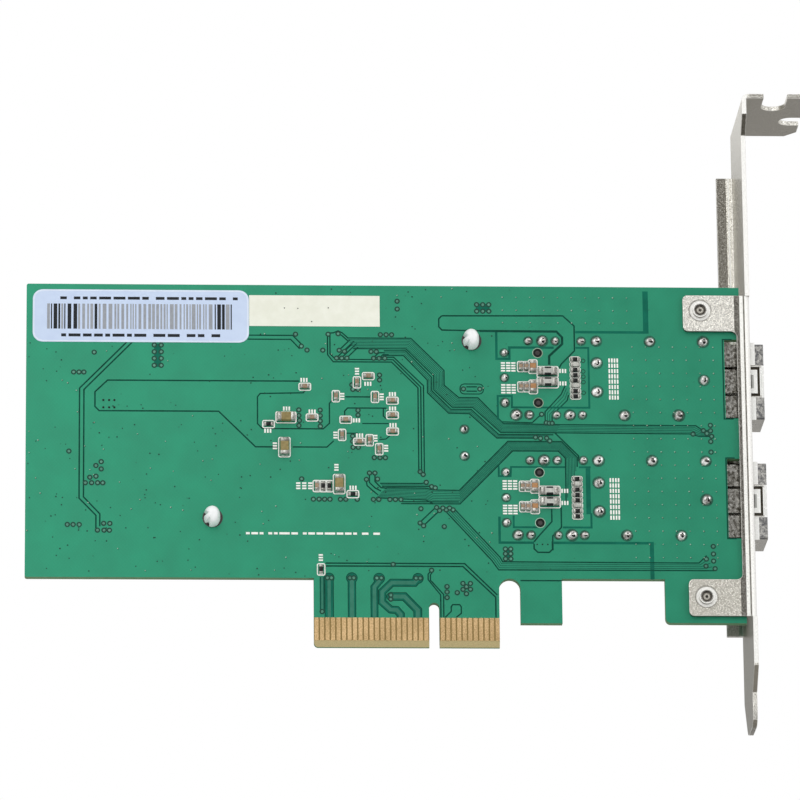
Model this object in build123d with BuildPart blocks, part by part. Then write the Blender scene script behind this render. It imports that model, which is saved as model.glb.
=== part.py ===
from build123d import *
import math
import os

# Two-port network interface card for a four-lane edge slot, on a full-height bracket.
# Millimetres. X runs toward the bracket, Y from the solder side to the component side,
# Z up. The origin is the centre of the key notch, at the tip of the contact tongue.

# Circuit board
board_thickness = 1.57
board_left = -74.6
board_gap = 1.04
board_top = 68.9
board_bottom = 12.9
board_corner = 0.4
tongue_long = 21.95
tongue_short = 11.9
tongue_corner = 0.8
key_width = 1.9
key_top = 8.3
bevel_rise = 1.15
bevel_inset = 0.42
relief_width = 3.9
retainer_right = 23.4
retainer_bottom = 4.5
lobe_length = 14.85
lobe_bottom = 4.65
lobe_corner = 1.0

# Gold contacts, counted outward from the key notch
contact_pitch = 1.0
contact_width = 0.72
contact_first = 1.5
contact_top = 5.45
contact_skin = 0.05
contacts_long = 21
contacts_short = 11

# Ports, given by the height of each cage's centre line
port_heights = {"upper": 51.25, "lower": 28.3}
cage_rear = 13.3
cage_overhang = 2.55
cage_width = 14.5
cage_height = 8.8
cage_sheet = 0.25
cage_pin_width = 0.7
cage_pin_reach = 0.75
cage_vent_pitch = 5.5
cage_notch_depth = 2.95
cage_notch_width = 15.2
wide_pins_above = (20.5, 30.5, 40.4)
wide_pins_below = (15.5, 25.4, 35.5)
thin_pins = (17.9, 22.9, 27.7)
rear_pins = (-4.8, 0.0, 4.8)
floor_pins = ((30.5, 2.9), (30.5, -2.6))
front_pin_above = 11.3
front_pin_below = 16.1
front_pin_side = -0.3
collar_sheet = 0.2
collar_length = 2.7
collar_setback = 1.6
latch_width = 5.1
latch_length = 9.0
latch_slit = 0.55

# Port connectors
peg_x = 19.6
peg_half_spacing = 4.8
peg_radius = 0.75
peg_hole_radius = 0.95
connector_rear = 16.0
connector_front = 25.0
connector_width = 12.4
connector_height = 5.6
connector_slot = 1.4
connector_slot_height = 2.7
port_contacts_per_row = 10
port_contact_pitch = 0.8
port_contact_width = 0.35
contact_sheet = 0.2

# Bracket
sheet = 0.86
bracket_inner = 58.19
bracket_depth = 18.42
bracket_top = 105.6
bracket_flare = 3.17
flare_low = 98.5
tail_tip = -13.6
tail_width = 10.2
tail_inset = 4.1
tail_corner = 2.6
taper_start = 3.0
taper_end = 9.0
tip_taper = 1.2
tail_shoulder = -3.4
tab_reach = 11.43
screw_notch_x = 5.5
screw_notch_width = 4.42
screw_notch_depth = 7.1
hook_notch_width = 4.4
hook_notch_depth = 4.0
hook_notch_y = 8.3
near_flange_length = 2.55
near_flange_low = 5.8
near_flange_high = 67.1
far_flange_length = 3.85
far_flange_low = 6.5
far_flange_high = 95.9
ear_length = 12.45
ear_height = 6.9
bend_outer = 1.25
ear_corner = 0.9
ear_root_radius = 1.1

# Screws that hold the bracket to the board
screw_inset = 9.25
screw_radius = 1.0
screw_heights = (64.2, 9.4)
screw_clearance = 0.05
screw_head_radius = 1.95
screw_head_height = 1.3
collar_radius = 1.4
collar_rise = 0.45
dish_radius = 2.0
dish_depth = 0.15

# Controller and its cooling
chip_x = -16.6
chip_z = 41.35
chip_size = 25.0
chip_height = 2.2
pad_size = 23.0
pad_height = 0.4
sink_size = 38.0
sink_base = 2.0
sink_height = 9.6
fin_count = 12
fin_width = 1.1
fin_draft = 89
ear_radius = 3.9
pin_dx = 23.9
pin_dz = 17.05
pin_radius = 1.4
pin_hole_radius = 1.5
pin_tip_radius = 1.75
pin_tip_length = 2.9
spring_wire = 0.25
spring_radius = 2.1
spring_turns = 4
spring_sides = 8
spring_height = 4.0

# Lights between the bracket and the board
light_heights = (40.7, 16.6)
light_block = (5.6, 5.0, 5.2)
light_pitch = 2.5
light_radius = 0.95
light_hole_radius = 1.15
light_axis = 3.0
light_gap = 0.3
light_proud = 0.3

# Parts of the component side, as (x, z), with their sizes
memory_places = ((-58.0, 36.0), (-47.0, 26.0))
memory_body = (4.9, 3.9, 1.5)
memory_standoff = 0.15
memory_pitch = 1.27
memory_leg = (0.42, 0.7, 0.25)
memory_leg_rise = 0.95
regulator_places = ((-66.0, 58.5), (-66.0, 47.5))
regulator_body = (6.5, 3.5, 1.6)
regulator_leg = (0.7, 1.8, 0.3)
regulator_tab = 3.0
regulator_pitch = 2.3
coil_places = ((-54.0, 58.5), (-54.0, 47.5))
coil_body = 7.3
coil_rise = 3.8
coil_corner = 0.9
can_places = ((-67.5, 36.0), (-67.5, 27.5), (-67.5, 19.0))
side_can_height = 24.0
can_base = 6.6
can_base_rise = 0.9
can_radius = 3.15
can_rise = 4.9
can_gap = 0.3

# Sizes of the soldered chip parts, as (length, width, height, end cap)
large_size = (3.2, 1.6, 1.3, 0.6)
small_size = (1.6, 0.8, 0.75, 0.4)
resistor_size = (1.6, 0.8, 0.5, 0.35)
port_capacitor_size = (1.55, 0.8, 0.75, 0.4)
filter_size = (2.2, 1.15, 0.9, 0.5)
inductor_size = (3.3, 1.45, 1.1, 0.95)
cap_skin = 0.04

# Sides of the small round pins and of the holes that another piece covers
few_sides = 16

# Soldered chip parts on the solder side, as (x, z, turn in degrees)
large_capacitors = ((-26.9, 43.4, 0), (-27.2, 37.7, 90), (-17.2, 30.7, 90))
small_capacitors = (
    (-23.4, 49.3, 0), (-11.7, 51.4, 0), (-7.3, 46.7, 0), (-7.3, 43.9, 0), (-22.1, 43.4, 0),
    (-15.9, 43.0, 0), (-13.4, 38.8, 0), (-7.3, 40.8, 0), (-13.8, 50.2, 90), (-10.5, 47.4, 90),
    (-17.7, 47.5, 90), (-16.6, 40.1, 90), (-11.55, 39.1, 90), (-9.8, 37.4, 90), (-21.3, 30.3, 90),
)
small_resistors = (
    (-14.7, 28.8, 0), (-30.1, 42.1, 0), (-20.15, 30.3, 90), (-19.0, 30.3, 90), (-20.6, 14.5, 90),
)
port_capacitor_columns = (16.45, 17.45)
port_capacitor_rows = (2.15, -1.75)
port_filter_x = 18.7
port_inductor_x = 21.4
port_inductor_rows = (1.15, -0.9)
port_resistor_x = 26.5
port_resistor_pitch = 1.02
port_resistor_count = 8
lane_capacitor_height = 16.0
lane_capacitor_columns = (-19.5, -16.5, -13.5, -10.5, -7.5, -4.5, 3.5, 6.5)

# Crystal beside the heat sink, given by the heights of its two pins
crystal_pin_heights = (41.3, 36.2)
crystal_gap = 1.15
crystal_foot = (11.3, 4.7, 0.5)
crystal_can = (10.4, 3.8, 3.0)
crystal_pin_radius = 0.25
pin_slack = 0.1

# Solder joints and label
joint_radius = 0.95
joint_height = 0.7
joint_taper = 25
label_left = -73.45
label_top = 67.8
label_length = 39.8
label_height = 10.1
label_corner = 1.85
label_skin = 0.1

# Derived planes and sizes
half_board = board_thickness / 2
solder_face = Plane.XZ.offset(half_board)
component_face = Plane.XZ.offset(-half_board)
bracket_outer = bracket_inner + sheet
board_right = bracket_inner - board_gap
lobe_left = board_right - lobe_length
screw_x = bracket_outer - screw_inset
ear_left = bracket_outer - ear_length
cage_front = bracket_outer + cage_overhang
collar_front = cage_front - collar_setback
bracket_near = -half_board - sheet
bracket_far = bracket_near + bracket_depth
half_key = key_width / 2
relief_right = tongue_short + relief_width
crystal_x = chip_x + sink_size / 2 + crystal_gap + crystal_foot[1] / 2
crystal_pins = [(crystal_x, z) for z in crystal_pin_heights]
side_can = (chip_x + sink_size / 2 + can_gap + can_base / 2, side_can_height)
pin_places = ((chip_x + pin_dx, chip_z + pin_dz), (chip_x - pin_dx, chip_z - pin_dz))
pin_wall = (cage_width - cage_sheet) / 2
board_screw_hole = screw_radius + 4 * screw_clearance
tail_near = bracket_near + tail_inset
tail_far = tail_near + tail_width
port_middle = half_board + cage_height / 2
port_opening_width = cage_width + 2 * collar_sheet + 0.4
port_opening_depth = cage_height + 2 * collar_sheet + 0.4
light_y = half_board + light_axis
light_places = [(light_y, z + s * light_pitch / 2) for z in light_heights for s in (1, -1)]
peg_heights = [z + s * peg_half_spacing for z in port_heights.values() for s in (1, -1)]

os.makedirs("parts", exist_ok=True)


def save(builder, name):
    """Label a finished piece and write it out."""
    builder.part.label = name
    export_step(builder.part, f"parts/{name}.step")


def turned(places):
    """Turn (x, z, degrees) triples into sketch locations."""
    return [Location((x, z, 0), (0, 0, angle)) for x, z, angle in places]


def save_chips(name, face, side, places, size):
    """Write one node of two-ended chip parts, each lower between its two end caps."""
    length, width, height, cap = size
    with BuildPart() as chips:
        with BuildSketch(face):
            with Locations(*turned(places)):
                Rectangle(length, width)
        extrude(amount=side * height)
        with BuildSketch(face.offset(side * height)):
            with Locations(*turned(places)):
                Rectangle(length - 2 * cap, width)
        extrude(amount=-side * cap_skin, mode=Mode.SUBTRACT)
    save(chips, name)


def cage_pin_places(height):
    """List every solder pin of one cage as (x, z, turn in degrees)."""
    front_above = cage_front - front_pin_above
    front_below = cage_front - front_pin_below
    above = [(x, height + pin_wall, 0) for x in wide_pins_above + thin_pins + (front_above,)]
    below = [(x, height - pin_wall, 0) for x in wide_pins_below + thin_pins + (front_below,)]
    rear = [(cage_rear + cage_sheet / 2, height + z, 90) for z in rear_pins]
    floor = [(x, height + z, 90) for x, z in floor_pins]
    return above + below + rear + floor + [(front_above, height + front_pin_side, 90)]


def bend_corner(plane, corner, toward):
    """Draw what a rounded outer bend leaves off; toward points from its sharp edge inward."""
    aligned = tuple(Align.MIN if way > 0 else Align.MAX for way in toward)
    centre = tuple(at + way * bend_outer for at, way in zip(corner, toward))
    with BuildSketch(plane) as waste:
        with Locations(corner):
            Rectangle(bend_outer, bend_outer, align=aligned)
        with Locations(centre):
            Circle(bend_outer, mode=Mode.SUBTRACT)
    return waste.sketch


cage_pins = [place for height in port_heights.values() for place in cage_pin_places(height)]
joint_places = [(x, z) for x, z, _ in cage_pins] + list(crystal_pins)

# Circuit board, with its tongue, key notch, relief slot and port notches
with BuildPart() as circuit_board:
    with BuildSketch(Plane.XZ) as outline:
        with BuildLine():
            Polyline(
                (board_left, board_bottom), (-tongue_long, board_bottom), (-tongue_long, 0),
                (tongue_short, 0), (tongue_short, board_bottom), (relief_right, board_bottom),
                (relief_right, retainer_bottom), (retainer_right, retainer_bottom),
                (retainer_right, board_bottom), (lobe_left, board_bottom),
                (lobe_left, lobe_bottom), (board_right, lobe_bottom), (board_right, board_top),
                (board_left, board_top), close=True,
            )
        make_face()
        for corner, radius in (
            ((tongue_short, board_bottom), relief_width / 2 - 0.01),
            ((relief_right, board_bottom), relief_width / 2 - 0.01),
            ((-tongue_long, 0), tongue_corner),
            ((lobe_left, lobe_bottom), lobe_corner),
            ((board_left, board_bottom), board_corner),
            ((board_left, board_top), board_corner),
        ):
            fillet(outline.vertices().sort_by_distance(corner)[0], radius)
        Rectangle(
            key_width, 2 * (key_top - half_key), mode=Mode.SUBTRACT
        )
        with Locations((0, key_top - half_key)):
            Circle(half_key, mode=Mode.SUBTRACT)
        with Locations(*[(board_right, height) for height in port_heights.values()]):
            Rectangle(
                2 * cage_notch_depth, cage_notch_width, mode=Mode.SUBTRACT
            )
    extrude(amount=half_board, both=True)
    with BuildSketch(Plane.YZ):
        with BuildLine():
            Polyline(
                (half_board, bevel_rise), (half_board, 0), (half_board - bevel_inset, 0),
                close=True,
            )
        make_face()
        mirror(about=Plane.YZ)
    extrude(amount=tongue_long, both=True, mode=Mode.SUBTRACT)
    with BuildSketch(Plane.XZ):
        with Locations(*[(screw_x, z) for z in screw_heights]):
            RegularPolygon(board_screw_hole, few_sides)
        with Locations(*pin_places):
            RegularPolygon(pin_hole_radius, few_sides, major_radius=False)
        with Locations(*[(peg_x, z) for z in peg_heights]):
            Circle(peg_hole_radius)
        with Locations(*turned(cage_pins)):
            Rectangle(cage_pin_width + pin_slack, cage_sheet + pin_slack)
        with Locations(*crystal_pins):
            RegularPolygon(crystal_pin_radius + pin_slack / 2, 8, major_radius=False)
    extrude(amount=half_board, both=True, mode=Mode.SUBTRACT)
save(circuit_board, "circuit_board")

# Gold contacts on both faces of the tongue
contact_rows = [-contact_first - i * contact_pitch for i in range(contacts_long)]
contact_rows += [contact_first + i * contact_pitch for i in range(contacts_short)]
contact_middle = (contact_top + bevel_rise) / 2
with BuildPart() as edge_contacts:
    for face, side in ((solder_face, 1), (component_face, -1)):
        with BuildSketch(face):
            with Locations(*[(x, contact_middle) for x in contact_rows]):
                Rectangle(contact_width, contact_top - bevel_rise)
        extrude(amount=side * contact_skin)
save(edge_contacts, "edge_contacts")

# Folded bracket: plate, outward tab, two flanges, two ears with drawn collars
with BuildPart() as bracket:
    with BuildSketch(Plane.YZ.offset(bracket_inner)) as plate:
        with BuildLine():
            Polyline(
                (bracket_near, flare_low), (bracket_near - bracket_flare, flare_low + bracket_flare),
                (bracket_near - bracket_flare, bracket_top), (bracket_far, bracket_top),
                (bracket_far, tail_shoulder - taper_start), (tail_far, tail_shoulder - taper_end),
                (tail_far - tip_taper, tail_tip), (tail_near, tail_tip),
                (tail_near, tail_shoulder - tail_inset), (bracket_near, tail_shoulder), close=True,
            )
        make_face()
        fillet(plate.vertices().group_by(Axis.Y)[0], tail_corner)
    extrude(amount=sheet)
    with BuildSketch(Plane.XZ.offset(-bracket_near)) as near_side:
        with Locations((bracket_outer, near_flange_low)):
            Rectangle(
                near_flange_length, near_flange_high - near_flange_low,
                align=(Align.MAX, Align.MIN),
            )
        with Locations((bracket_outer, near_flange_low), (bracket_outer, near_flange_high - ear_height)):
            Rectangle(ear_length, ear_height, align=(Align.MAX, Align.MIN))
        roots = near_side.vertices().filter_by(
            lambda v: abs(v.X - bracket_outer + near_flange_length) < 1e-3
        )
        fillet(roots, ear_root_radius)
    extrude(amount=-sheet)
    with BuildSketch(Plane.XZ.offset(-bracket_far)):
        with Locations((bracket_outer, far_flange_low)):
            Rectangle(
                far_flange_length, far_flange_high - far_flange_low,
                align=(Align.MAX, Align.MIN),
            )
    extrude(amount=sheet)
    with BuildSketch(Plane.XY.offset(bracket_top)):
        with BuildLine():
            Polyline(
                (bracket_inner, bracket_near - bracket_flare),
                (bracket_outer + tab_reach, bracket_near - bracket_flare),
                (bracket_outer + tab_reach, bracket_far - 2.4),
                (bracket_outer + tab_reach - 2.1, bracket_far), (bracket_inner, bracket_far),
                close=True,
            )
        make_face()
    extrude(amount=-sheet)
    with BuildSketch(Plane.XY.offset(bracket_top)):
        with Locations((bracket_outer + screw_notch_x, bracket_near - bracket_flare)):
            SlotCenterToCenter(
                2 * (screw_notch_depth - screw_notch_width / 2), screw_notch_width, rotation=90
            )
        with Locations((bracket_outer + tab_reach, hook_notch_y)):
            SlotCenterToCenter(2 * (hook_notch_depth - hook_notch_width / 2) + 0.02, hook_notch_width)
    extrude(amount=-sheet, mode=Mode.SUBTRACT)
    with BuildSketch(Plane.YZ.offset(bracket_inner)):
        with Locations(*[(port_middle, z) for z in port_heights.values()]):
            Rectangle(port_opening_depth, port_opening_width)
        with Locations(*light_places):
            Circle(light_hole_radius)
    extrude(amount=sheet, mode=Mode.SUBTRACT)
    with BuildSketch(Plane.XZ.offset(-bracket_near)):
        with Locations(*[(screw_x, z) for z in screw_heights]):
            Circle(dish_radius)
    extrude(amount=-dish_depth, mode=Mode.SUBTRACT)
    with BuildSketch(Plane.XZ.offset(-bracket_near - dish_depth)):
        with Locations(*[(screw_x, z) for z in screw_heights]):
            Circle(collar_radius)
    extrude(amount=collar_rise + dish_depth)
    with BuildSketch(Plane.XZ.offset(half_board)):
        with Locations(*[(screw_x, z) for z in screw_heights]):
            Circle(screw_radius + screw_clearance)
    extrude(amount=sheet + collar_rise, mode=Mode.SUBTRACT)
    near_bend = bend_corner(
        Plane.XY.offset(near_flange_low), (bracket_outer, bracket_near), (-1, 1)
    )
    extrude(near_bend, amount=near_flange_high - near_flange_low, mode=Mode.SUBTRACT)
    far_bend = bend_corner(
        Plane.XY.offset(far_flange_low), (bracket_outer, bracket_far), (-1, -1)
    )
    extrude(far_bend, amount=far_flange_high - far_flange_low, mode=Mode.SUBTRACT)
    top_bend = bend_corner(
        Plane.XZ.offset(-bracket_far), (bracket_inner, bracket_top), (1, -1)
    )
    extrude(top_bend, amount=bracket_depth + bracket_flare, mode=Mode.SUBTRACT)
    ear_corners = bracket.edges().filter_by(Axis.Y).filter_by(
        lambda e: abs(e.center().X - ear_left) < 1e-3
    )
    fillet(ear_corners, ear_corner)
save(bracket, "bracket")

# Screws from the component side into the drawn collars
with BuildPart() as bracket_screws:
    with BuildSketch(component_face):
        with Locations(*[(screw_x, z) for z in screw_heights]):
            Circle(screw_head_radius)
    extrude(amount=-screw_head_height)
    chamfer(
        bracket_screws.edges().filter_by(GeomType.CIRCLE).group_by(Axis.Y)[-1],
        screw_head_height * 0.4,
    )
    with BuildSketch(component_face):
        with Locations(*[(screw_x, z) for z in screw_heights]):
            RegularPolygon(screw_radius, few_sides)
    extrude(amount=board_thickness + sheet + collar_rise - 0.3)
    with BuildSketch(component_face.offset(-screw_head_height)):
        with Locations(*[(screw_x, z) for z in screw_heights]):
            Rectangle(1.9, 0.45)
            Rectangle(0.45, 1.9)
    extrude(amount=0.7, mode=Mode.SUBTRACT)
save(bracket_screws, "bracket_screws")

# Both ports: cage, spring collar, connector and its contacts
for port, height in port_heights.items():
    floor = Plane.XZ.offset(-half_board)
    with BuildPart() as cage:
        with BuildSketch(floor):
            with Locations((cage_rear, height)):
                Rectangle(cage_front - cage_rear, cage_width, align=(Align.MIN, Align.CENTER))
        extrude(amount=-cage_height)
        chamfer(cage.edges().filter_by(Axis.X), 0.3)
        with BuildSketch(floor.offset(-cage_sheet)):
            with Locations((cage_rear + cage_sheet, height)):
                Rectangle(
                    cage_front - cage_rear, cage_width - 2 * cage_sheet,
                    align=(Align.MIN, Align.CENTER),
                )
        extrude(amount=-(cage_height - 2 * cage_sheet), mode=Mode.SUBTRACT)
        with BuildSketch(floor):
            with Locations((cage_rear + 2 * cage_sheet, height)):
                Rectangle(
                    connector_front + 3 - cage_rear, cage_width - 4 * cage_sheet,
                    align=(Align.MIN, Align.CENTER),
                )
            with Locations((cage_front - latch_length / 2 - 0.75, height)):
                with Locations((0, latch_width / 2), (0, -latch_width / 2)):
                    Rectangle(latch_length, latch_slit)
            with Locations((cage_front - 0.75, height)):
                Rectangle(0.45, latch_width, align=(Align.MAX, Align.CENTER))
            with Locations((cage_front - 2.3, height)):
                Rectangle(0.6, 2.7, align=(Align.MAX, Align.CENTER))
        extrude(amount=-cage_sheet, mode=Mode.SUBTRACT)
        with BuildSketch(floor.offset(-cage_height)):
            with Locations(((cage_rear + cage_front) / 2 - cage_vent_pitch, height)):
                with GridLocations(cage_vent_pitch, cage_width / 3.5, 4, 2):
                    Rectangle(cage_vent_pitch * 0.55, 1.2)
        extrude(amount=cage_sheet, mode=Mode.SUBTRACT)
        with BuildSketch(floor.offset(-cage_sheet)):
            with Locations(*turned(cage_pin_places(height))):
                Rectangle(cage_pin_width, cage_sheet)
        extrude(amount=board_thickness + cage_sheet + cage_pin_reach)
    save(cage, f"sfp_cage_{port}")

    with BuildPart() as collar:
        with BuildSketch(Plane.YZ.offset(collar_front - collar_length)):
            with Locations((port_middle, height)):
                Rectangle(cage_height + 2 * collar_sheet, cage_width + 2 * collar_sheet)
                Rectangle(cage_height, cage_width, mode=Mode.SUBTRACT)
            with Locations((half_board, height)):
                Rectangle(2, latch_width + 2 * latch_slit, mode=Mode.SUBTRACT)
        extrude(amount=collar_length)
        with BuildSketch(Plane.YZ.offset(collar_front)):
            with Locations((port_middle, height)):
                with Locations((cage_height / 2, 0)):
                    with GridLocations(1, 3.6, 1, 3):
                        Rectangle(2, 0.5)
                with GridLocations(3.0, cage_width, 2, 2):
                    Rectangle(0.5, 2)
        extrude(amount=-collar_length * 0.75, mode=Mode.SUBTRACT)
    save(collar, f"spring_collar_{port}")

    with BuildPart() as connector:
        with BuildSketch(component_face):
            with Locations((connector_rear, height)):
                Rectangle(
                    connector_front - connector_rear, connector_width,
                    align=(Align.MIN, Align.CENTER),
                )
        extrude(amount=-connector_height)
        chamfer(connector.edges().filter_by(Axis.Z).group_by(Axis.Y)[-1], 0.5)
        with BuildSketch(Plane.YZ.offset(connector_front)):
            with Locations((half_board + connector_slot_height, height)):
                Rectangle(connector_slot, connector_width - 2.4)
        extrude(amount=-6.5, mode=Mode.SUBTRACT)
        with BuildSketch(component_face):
            with Locations((peg_x, height + peg_half_spacing), (peg_x, height - peg_half_spacing)):
                RegularPolygon(peg_radius, few_sides)
        extrude(amount=board_thickness * 0.7)
    save(connector, f"sfp_connector_{port}")

    with BuildPart() as contact_blank:
        with BuildSketch(Plane.XY.offset(height)):
            for edge, way, foot, rise in (
                (connector_rear, -1, 1.6, 3.0), (connector_front, 1, 1.4, 1.5)
            ):
                with BuildLine():
                    Polyline(
                        (edge, half_board), (edge + way * foot, half_board),
                        (edge + way * foot, half_board + contact_sheet),
                        (edge + way * contact_sheet, half_board + contact_sheet),
                        (edge + way * contact_sheet, half_board + rise),
                        (edge, half_board + rise), close=True,
                    )
                make_face()
        extrude(amount=port_contact_width / 2, both=True)
    with BuildPart() as port_contacts:
        middle = (port_contacts_per_row - 1) / 2
        with Locations(
            *[(0, 0, (i - middle) * port_contact_pitch) for i in range(port_contacts_per_row)]
        ):
            add(contact_blank.part)
    save(port_contacts, f"port_contacts_{port}")

# Controller package with its raised lid, and the pad on top of it
with BuildPart() as network_controller:
    with BuildSketch(component_face):
        with Locations((chip_x, chip_z)):
            Rectangle(chip_size, chip_size)
    extrude(amount=-chip_height * 0.4)
    with BuildSketch(component_face.offset(-chip_height * 0.4)):
        with Locations((chip_x, chip_z)):
            Rectangle(pad_size, pad_size)
    extrude(amount=-chip_height * 0.6)
save(network_controller, "network_controller")

with BuildPart() as thermal_pad:
    with BuildSketch(component_face.offset(-chip_height)):
        with Locations((chip_x, chip_z)):
            Rectangle(pad_size - 1, pad_size - 1)
    extrude(amount=-pad_height)
save(thermal_pad, "thermal_pad")

# Finned heat sink: an extruded comb with two diagonal ears for the push pins
sink_floor = half_board + chip_height + pad_height
sink_left = chip_x - sink_size / 2
fin_pitch = (sink_size - fin_width) / (fin_count - 1)
with BuildPart() as heat_sink:
    with BuildSketch(Plane.XY.offset(chip_z)):
        with Locations((sink_left, sink_floor)):
            Rectangle(sink_size, sink_base, align=(Align.MIN, Align.MIN))
            for fin in range(fin_count):
                with Locations((fin * fin_pitch, sink_base)):
                    Trapezoid(
                        fin_width, sink_height - sink_base, fin_draft,
                        align=(Align.MIN, Align.MIN),
                    )
    extrude(amount=sink_size / 2, both=True)
    with BuildSketch(Plane.XZ.offset(-sink_floor)):
        for way in (1, -1):
            with BuildLine():
                Polyline(
                    (chip_x + way * (sink_size / 2 - 1), chip_z + way * (pin_dz + ear_radius - 2.3)),
                    (chip_x + way * pin_dx, chip_z + way * (pin_dz + ear_radius)),
                    (chip_x + way * pin_dx, chip_z + way * (pin_dz - ear_radius)),
                    (chip_x + way * (sink_size / 2 - 1), chip_z + way * (pin_dz - ear_radius - 3)),
                    close=True,
                )
            make_face()
        with Locations(*pin_places):
            Circle(ear_radius)
            RegularPolygon(
                pin_radius + 0.25, few_sides, major_radius=False, mode=Mode.SUBTRACT
            )
    extrude(amount=-sink_base)
save(heat_sink, "heat_sink")

# Push pins: head, shank and a split barbed tip that locks behind the board
pin_seat = half_board + chip_height + pad_height + sink_base
with BuildPart() as push_pins:
    with BuildSketch(Plane.XZ.offset(-pin_seat - spring_height)):
        with Locations(*pin_places):
            Circle(spring_radius + 2 * spring_wire)
    extrude(amount=-1.4)
    with BuildSketch(Plane.XZ.offset(-pin_seat - spring_height)):
        with Locations(*pin_places):
            RegularPolygon(pin_radius, few_sides)
    extrude(amount=pin_seat + spring_height + half_board)
    with BuildSketch(solder_face):
        with Locations(*pin_places):
            Circle(pin_tip_radius)
    extrude(amount=pin_tip_length, taper=14)
    with BuildSketch(solder_face.offset(pin_tip_length)):
        with Locations(*[Location((x, z, 0), (0, 0, 60)) for x, z in pin_places]):
            Rectangle(0.6, 4 * pin_tip_radius)
    extrude(amount=-(pin_tip_length + board_thickness), mode=Mode.SUBTRACT)
save(push_pins, "push_pins")

# Coil springs that press the heat sink down under the pin heads
coil_height = spring_height - 2 * spring_wire
coil_steps = spring_turns * spring_sides
with BuildPart() as coil:
    with BuildLine() as turns:
        Polyline(
            *[
                (
                    spring_radius * math.cos(math.tau * step / spring_sides),
                    spring_radius * math.sin(math.tau * step / spring_sides),
                    coil_height * step / coil_steps,
                )
                for step in range(coil_steps + 1)
            ]
        )
    with BuildSketch(Plane(turns.line @ 0, z_dir=turns.line % 0)):
        RegularPolygon(spring_wire, 4)
    sweep(transition=Transition.RIGHT)
with BuildPart() as pin_springs:
    for x, z in pin_places:
        with Locations(Location((x, pin_seat + spring_wire, z), (-90, 0, 0))):
            add(coil.part)
save(pin_springs, "pin_springs")

# Crystal: a can with cut corners, a flanged foot and two wire leads
crystal_z = sum(crystal_pin_heights) / 2
foot_length, foot_width, foot_height = crystal_foot
can_length, can_width, can_height = crystal_can
with BuildPart() as crystal:
    with BuildSketch(component_face):
        with Locations((crystal_x, crystal_z)):
            Rectangle(foot_width, foot_length)
    extrude(amount=-foot_height)
    with BuildSketch(component_face.offset(-foot_height)):
        with Locations((crystal_x, crystal_z)):
            Rectangle(can_width, can_length)
    extrude(amount=-can_height)
    chamfer(crystal.edges().filter_by(Axis.Y), can_width * 0.3)
    with BuildSketch(component_face):
        with Locations(*crystal_pins):
            RegularPolygon(crystal_pin_radius, 8, major_radius=False)
    extrude(amount=board_thickness + 0.6)
save(crystal, "crystal")

# Gull-wing memory chips: bodies and legs
memory_length, memory_width, memory_height = memory_body
leg_width, leg_foot, leg_height = memory_leg
with BuildPart() as memory_chips:
    with BuildSketch(component_face.offset(-memory_standoff)):
        with Locations(*memory_places):
            Rectangle(memory_length, memory_width)
    extrude(amount=-memory_height)
    chamfer(memory_chips.edges().filter_by(Axis.X).group_by(Axis.Y)[-1], memory_height / 6)
    with BuildSketch(component_face):
        with Locations(*memory_places):
            with GridLocations(memory_pitch, memory_width + 2 * leg_foot, 4, 2):
                Rectangle(leg_width, leg_foot)
    extrude(amount=-leg_height)
    with BuildSketch(component_face):
        with Locations(*memory_places):
            with GridLocations(memory_pitch, memory_width + leg_foot / 2, 4, 2):
                Rectangle(leg_width, leg_foot)
    extrude(amount=-memory_leg_rise)
save(memory_chips, "memory_chips")

# Voltage regulators: body, heat tab and three legs
regulator_length, regulator_width, regulator_height = regulator_body
lead_width, lead_length, lead_height = regulator_leg
lead_middle = (regulator_width + lead_length) / 2
with BuildPart() as regulators:
    with BuildSketch(component_face):
        with Locations(*regulator_places):
            Rectangle(regulator_length, regulator_width)
    extrude(amount=-regulator_height)
    chamfer(regulators.edges().filter_by(Axis.X).group_by(Axis.Y)[-1], lead_height)
    with BuildSketch(component_face):
        with Locations(*regulator_places):
            with Locations((0, lead_middle)):
                Rectangle(regulator_tab, lead_length)
            with Locations((0, -lead_middle)):
                with GridLocations(regulator_pitch, 1, 3, 1):
                    Rectangle(lead_width, lead_length)
    extrude(amount=-lead_height)
save(regulators, "regulators")

# Shielded power coils
with BuildPart() as power_coils:
    with BuildSketch(component_face):
        with Locations(*coil_places):
            Rectangle(coil_body, coil_body)
    extrude(amount=-coil_rise)
    chamfer(power_coils.edges().filter_by(Axis.Y), coil_corner)
    chamfer(power_coils.edges().group_by(Axis.Y)[-1], coil_corner / 3)
save(power_coils, "power_coils")

# Round polymer capacitors: square base with two cut corners, and a can
all_cans = can_places + (side_can,)
with BuildPart() as can_capacitors:
    with BuildSketch(component_face):
        with Locations(*all_cans):
            Rectangle(can_base, can_base)
        with Locations(*[(x + can_base / 2, z + s * can_base / 2) for x, z in all_cans for s in (1, -1)]):
            Rectangle(can_base_rise, can_base_rise, rotation=45, mode=Mode.SUBTRACT)
    extrude(amount=-can_base_rise)
    with BuildSketch(component_face.offset(-can_base_rise)):
        with Locations(*all_cans):
            Circle(can_radius)
    extrude(amount=-can_rise)
save(can_capacitors, "can_capacitors")

# Lights: a black housing behind the bracket, and round lenses on it that reach through
block_length, block_width, block_height = light_block
with BuildPart() as light_housings:
    with BuildSketch(component_face):
        with Locations(*[(bracket_inner - light_gap, z) for z in light_heights]):
            Rectangle(block_length, block_width, align=(Align.MAX, Align.CENTER))
    extrude(amount=-block_height)
save(light_housings, "light_housings")

with BuildPart() as light_lenses:
    with BuildSketch(Plane.YZ.offset(bracket_inner - light_gap)):
        with Locations(*light_places):
            RegularPolygon(light_radius, few_sides)
    extrude(amount=light_gap + sheet + light_proud)
save(light_lenses, "light_lenses")

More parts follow.
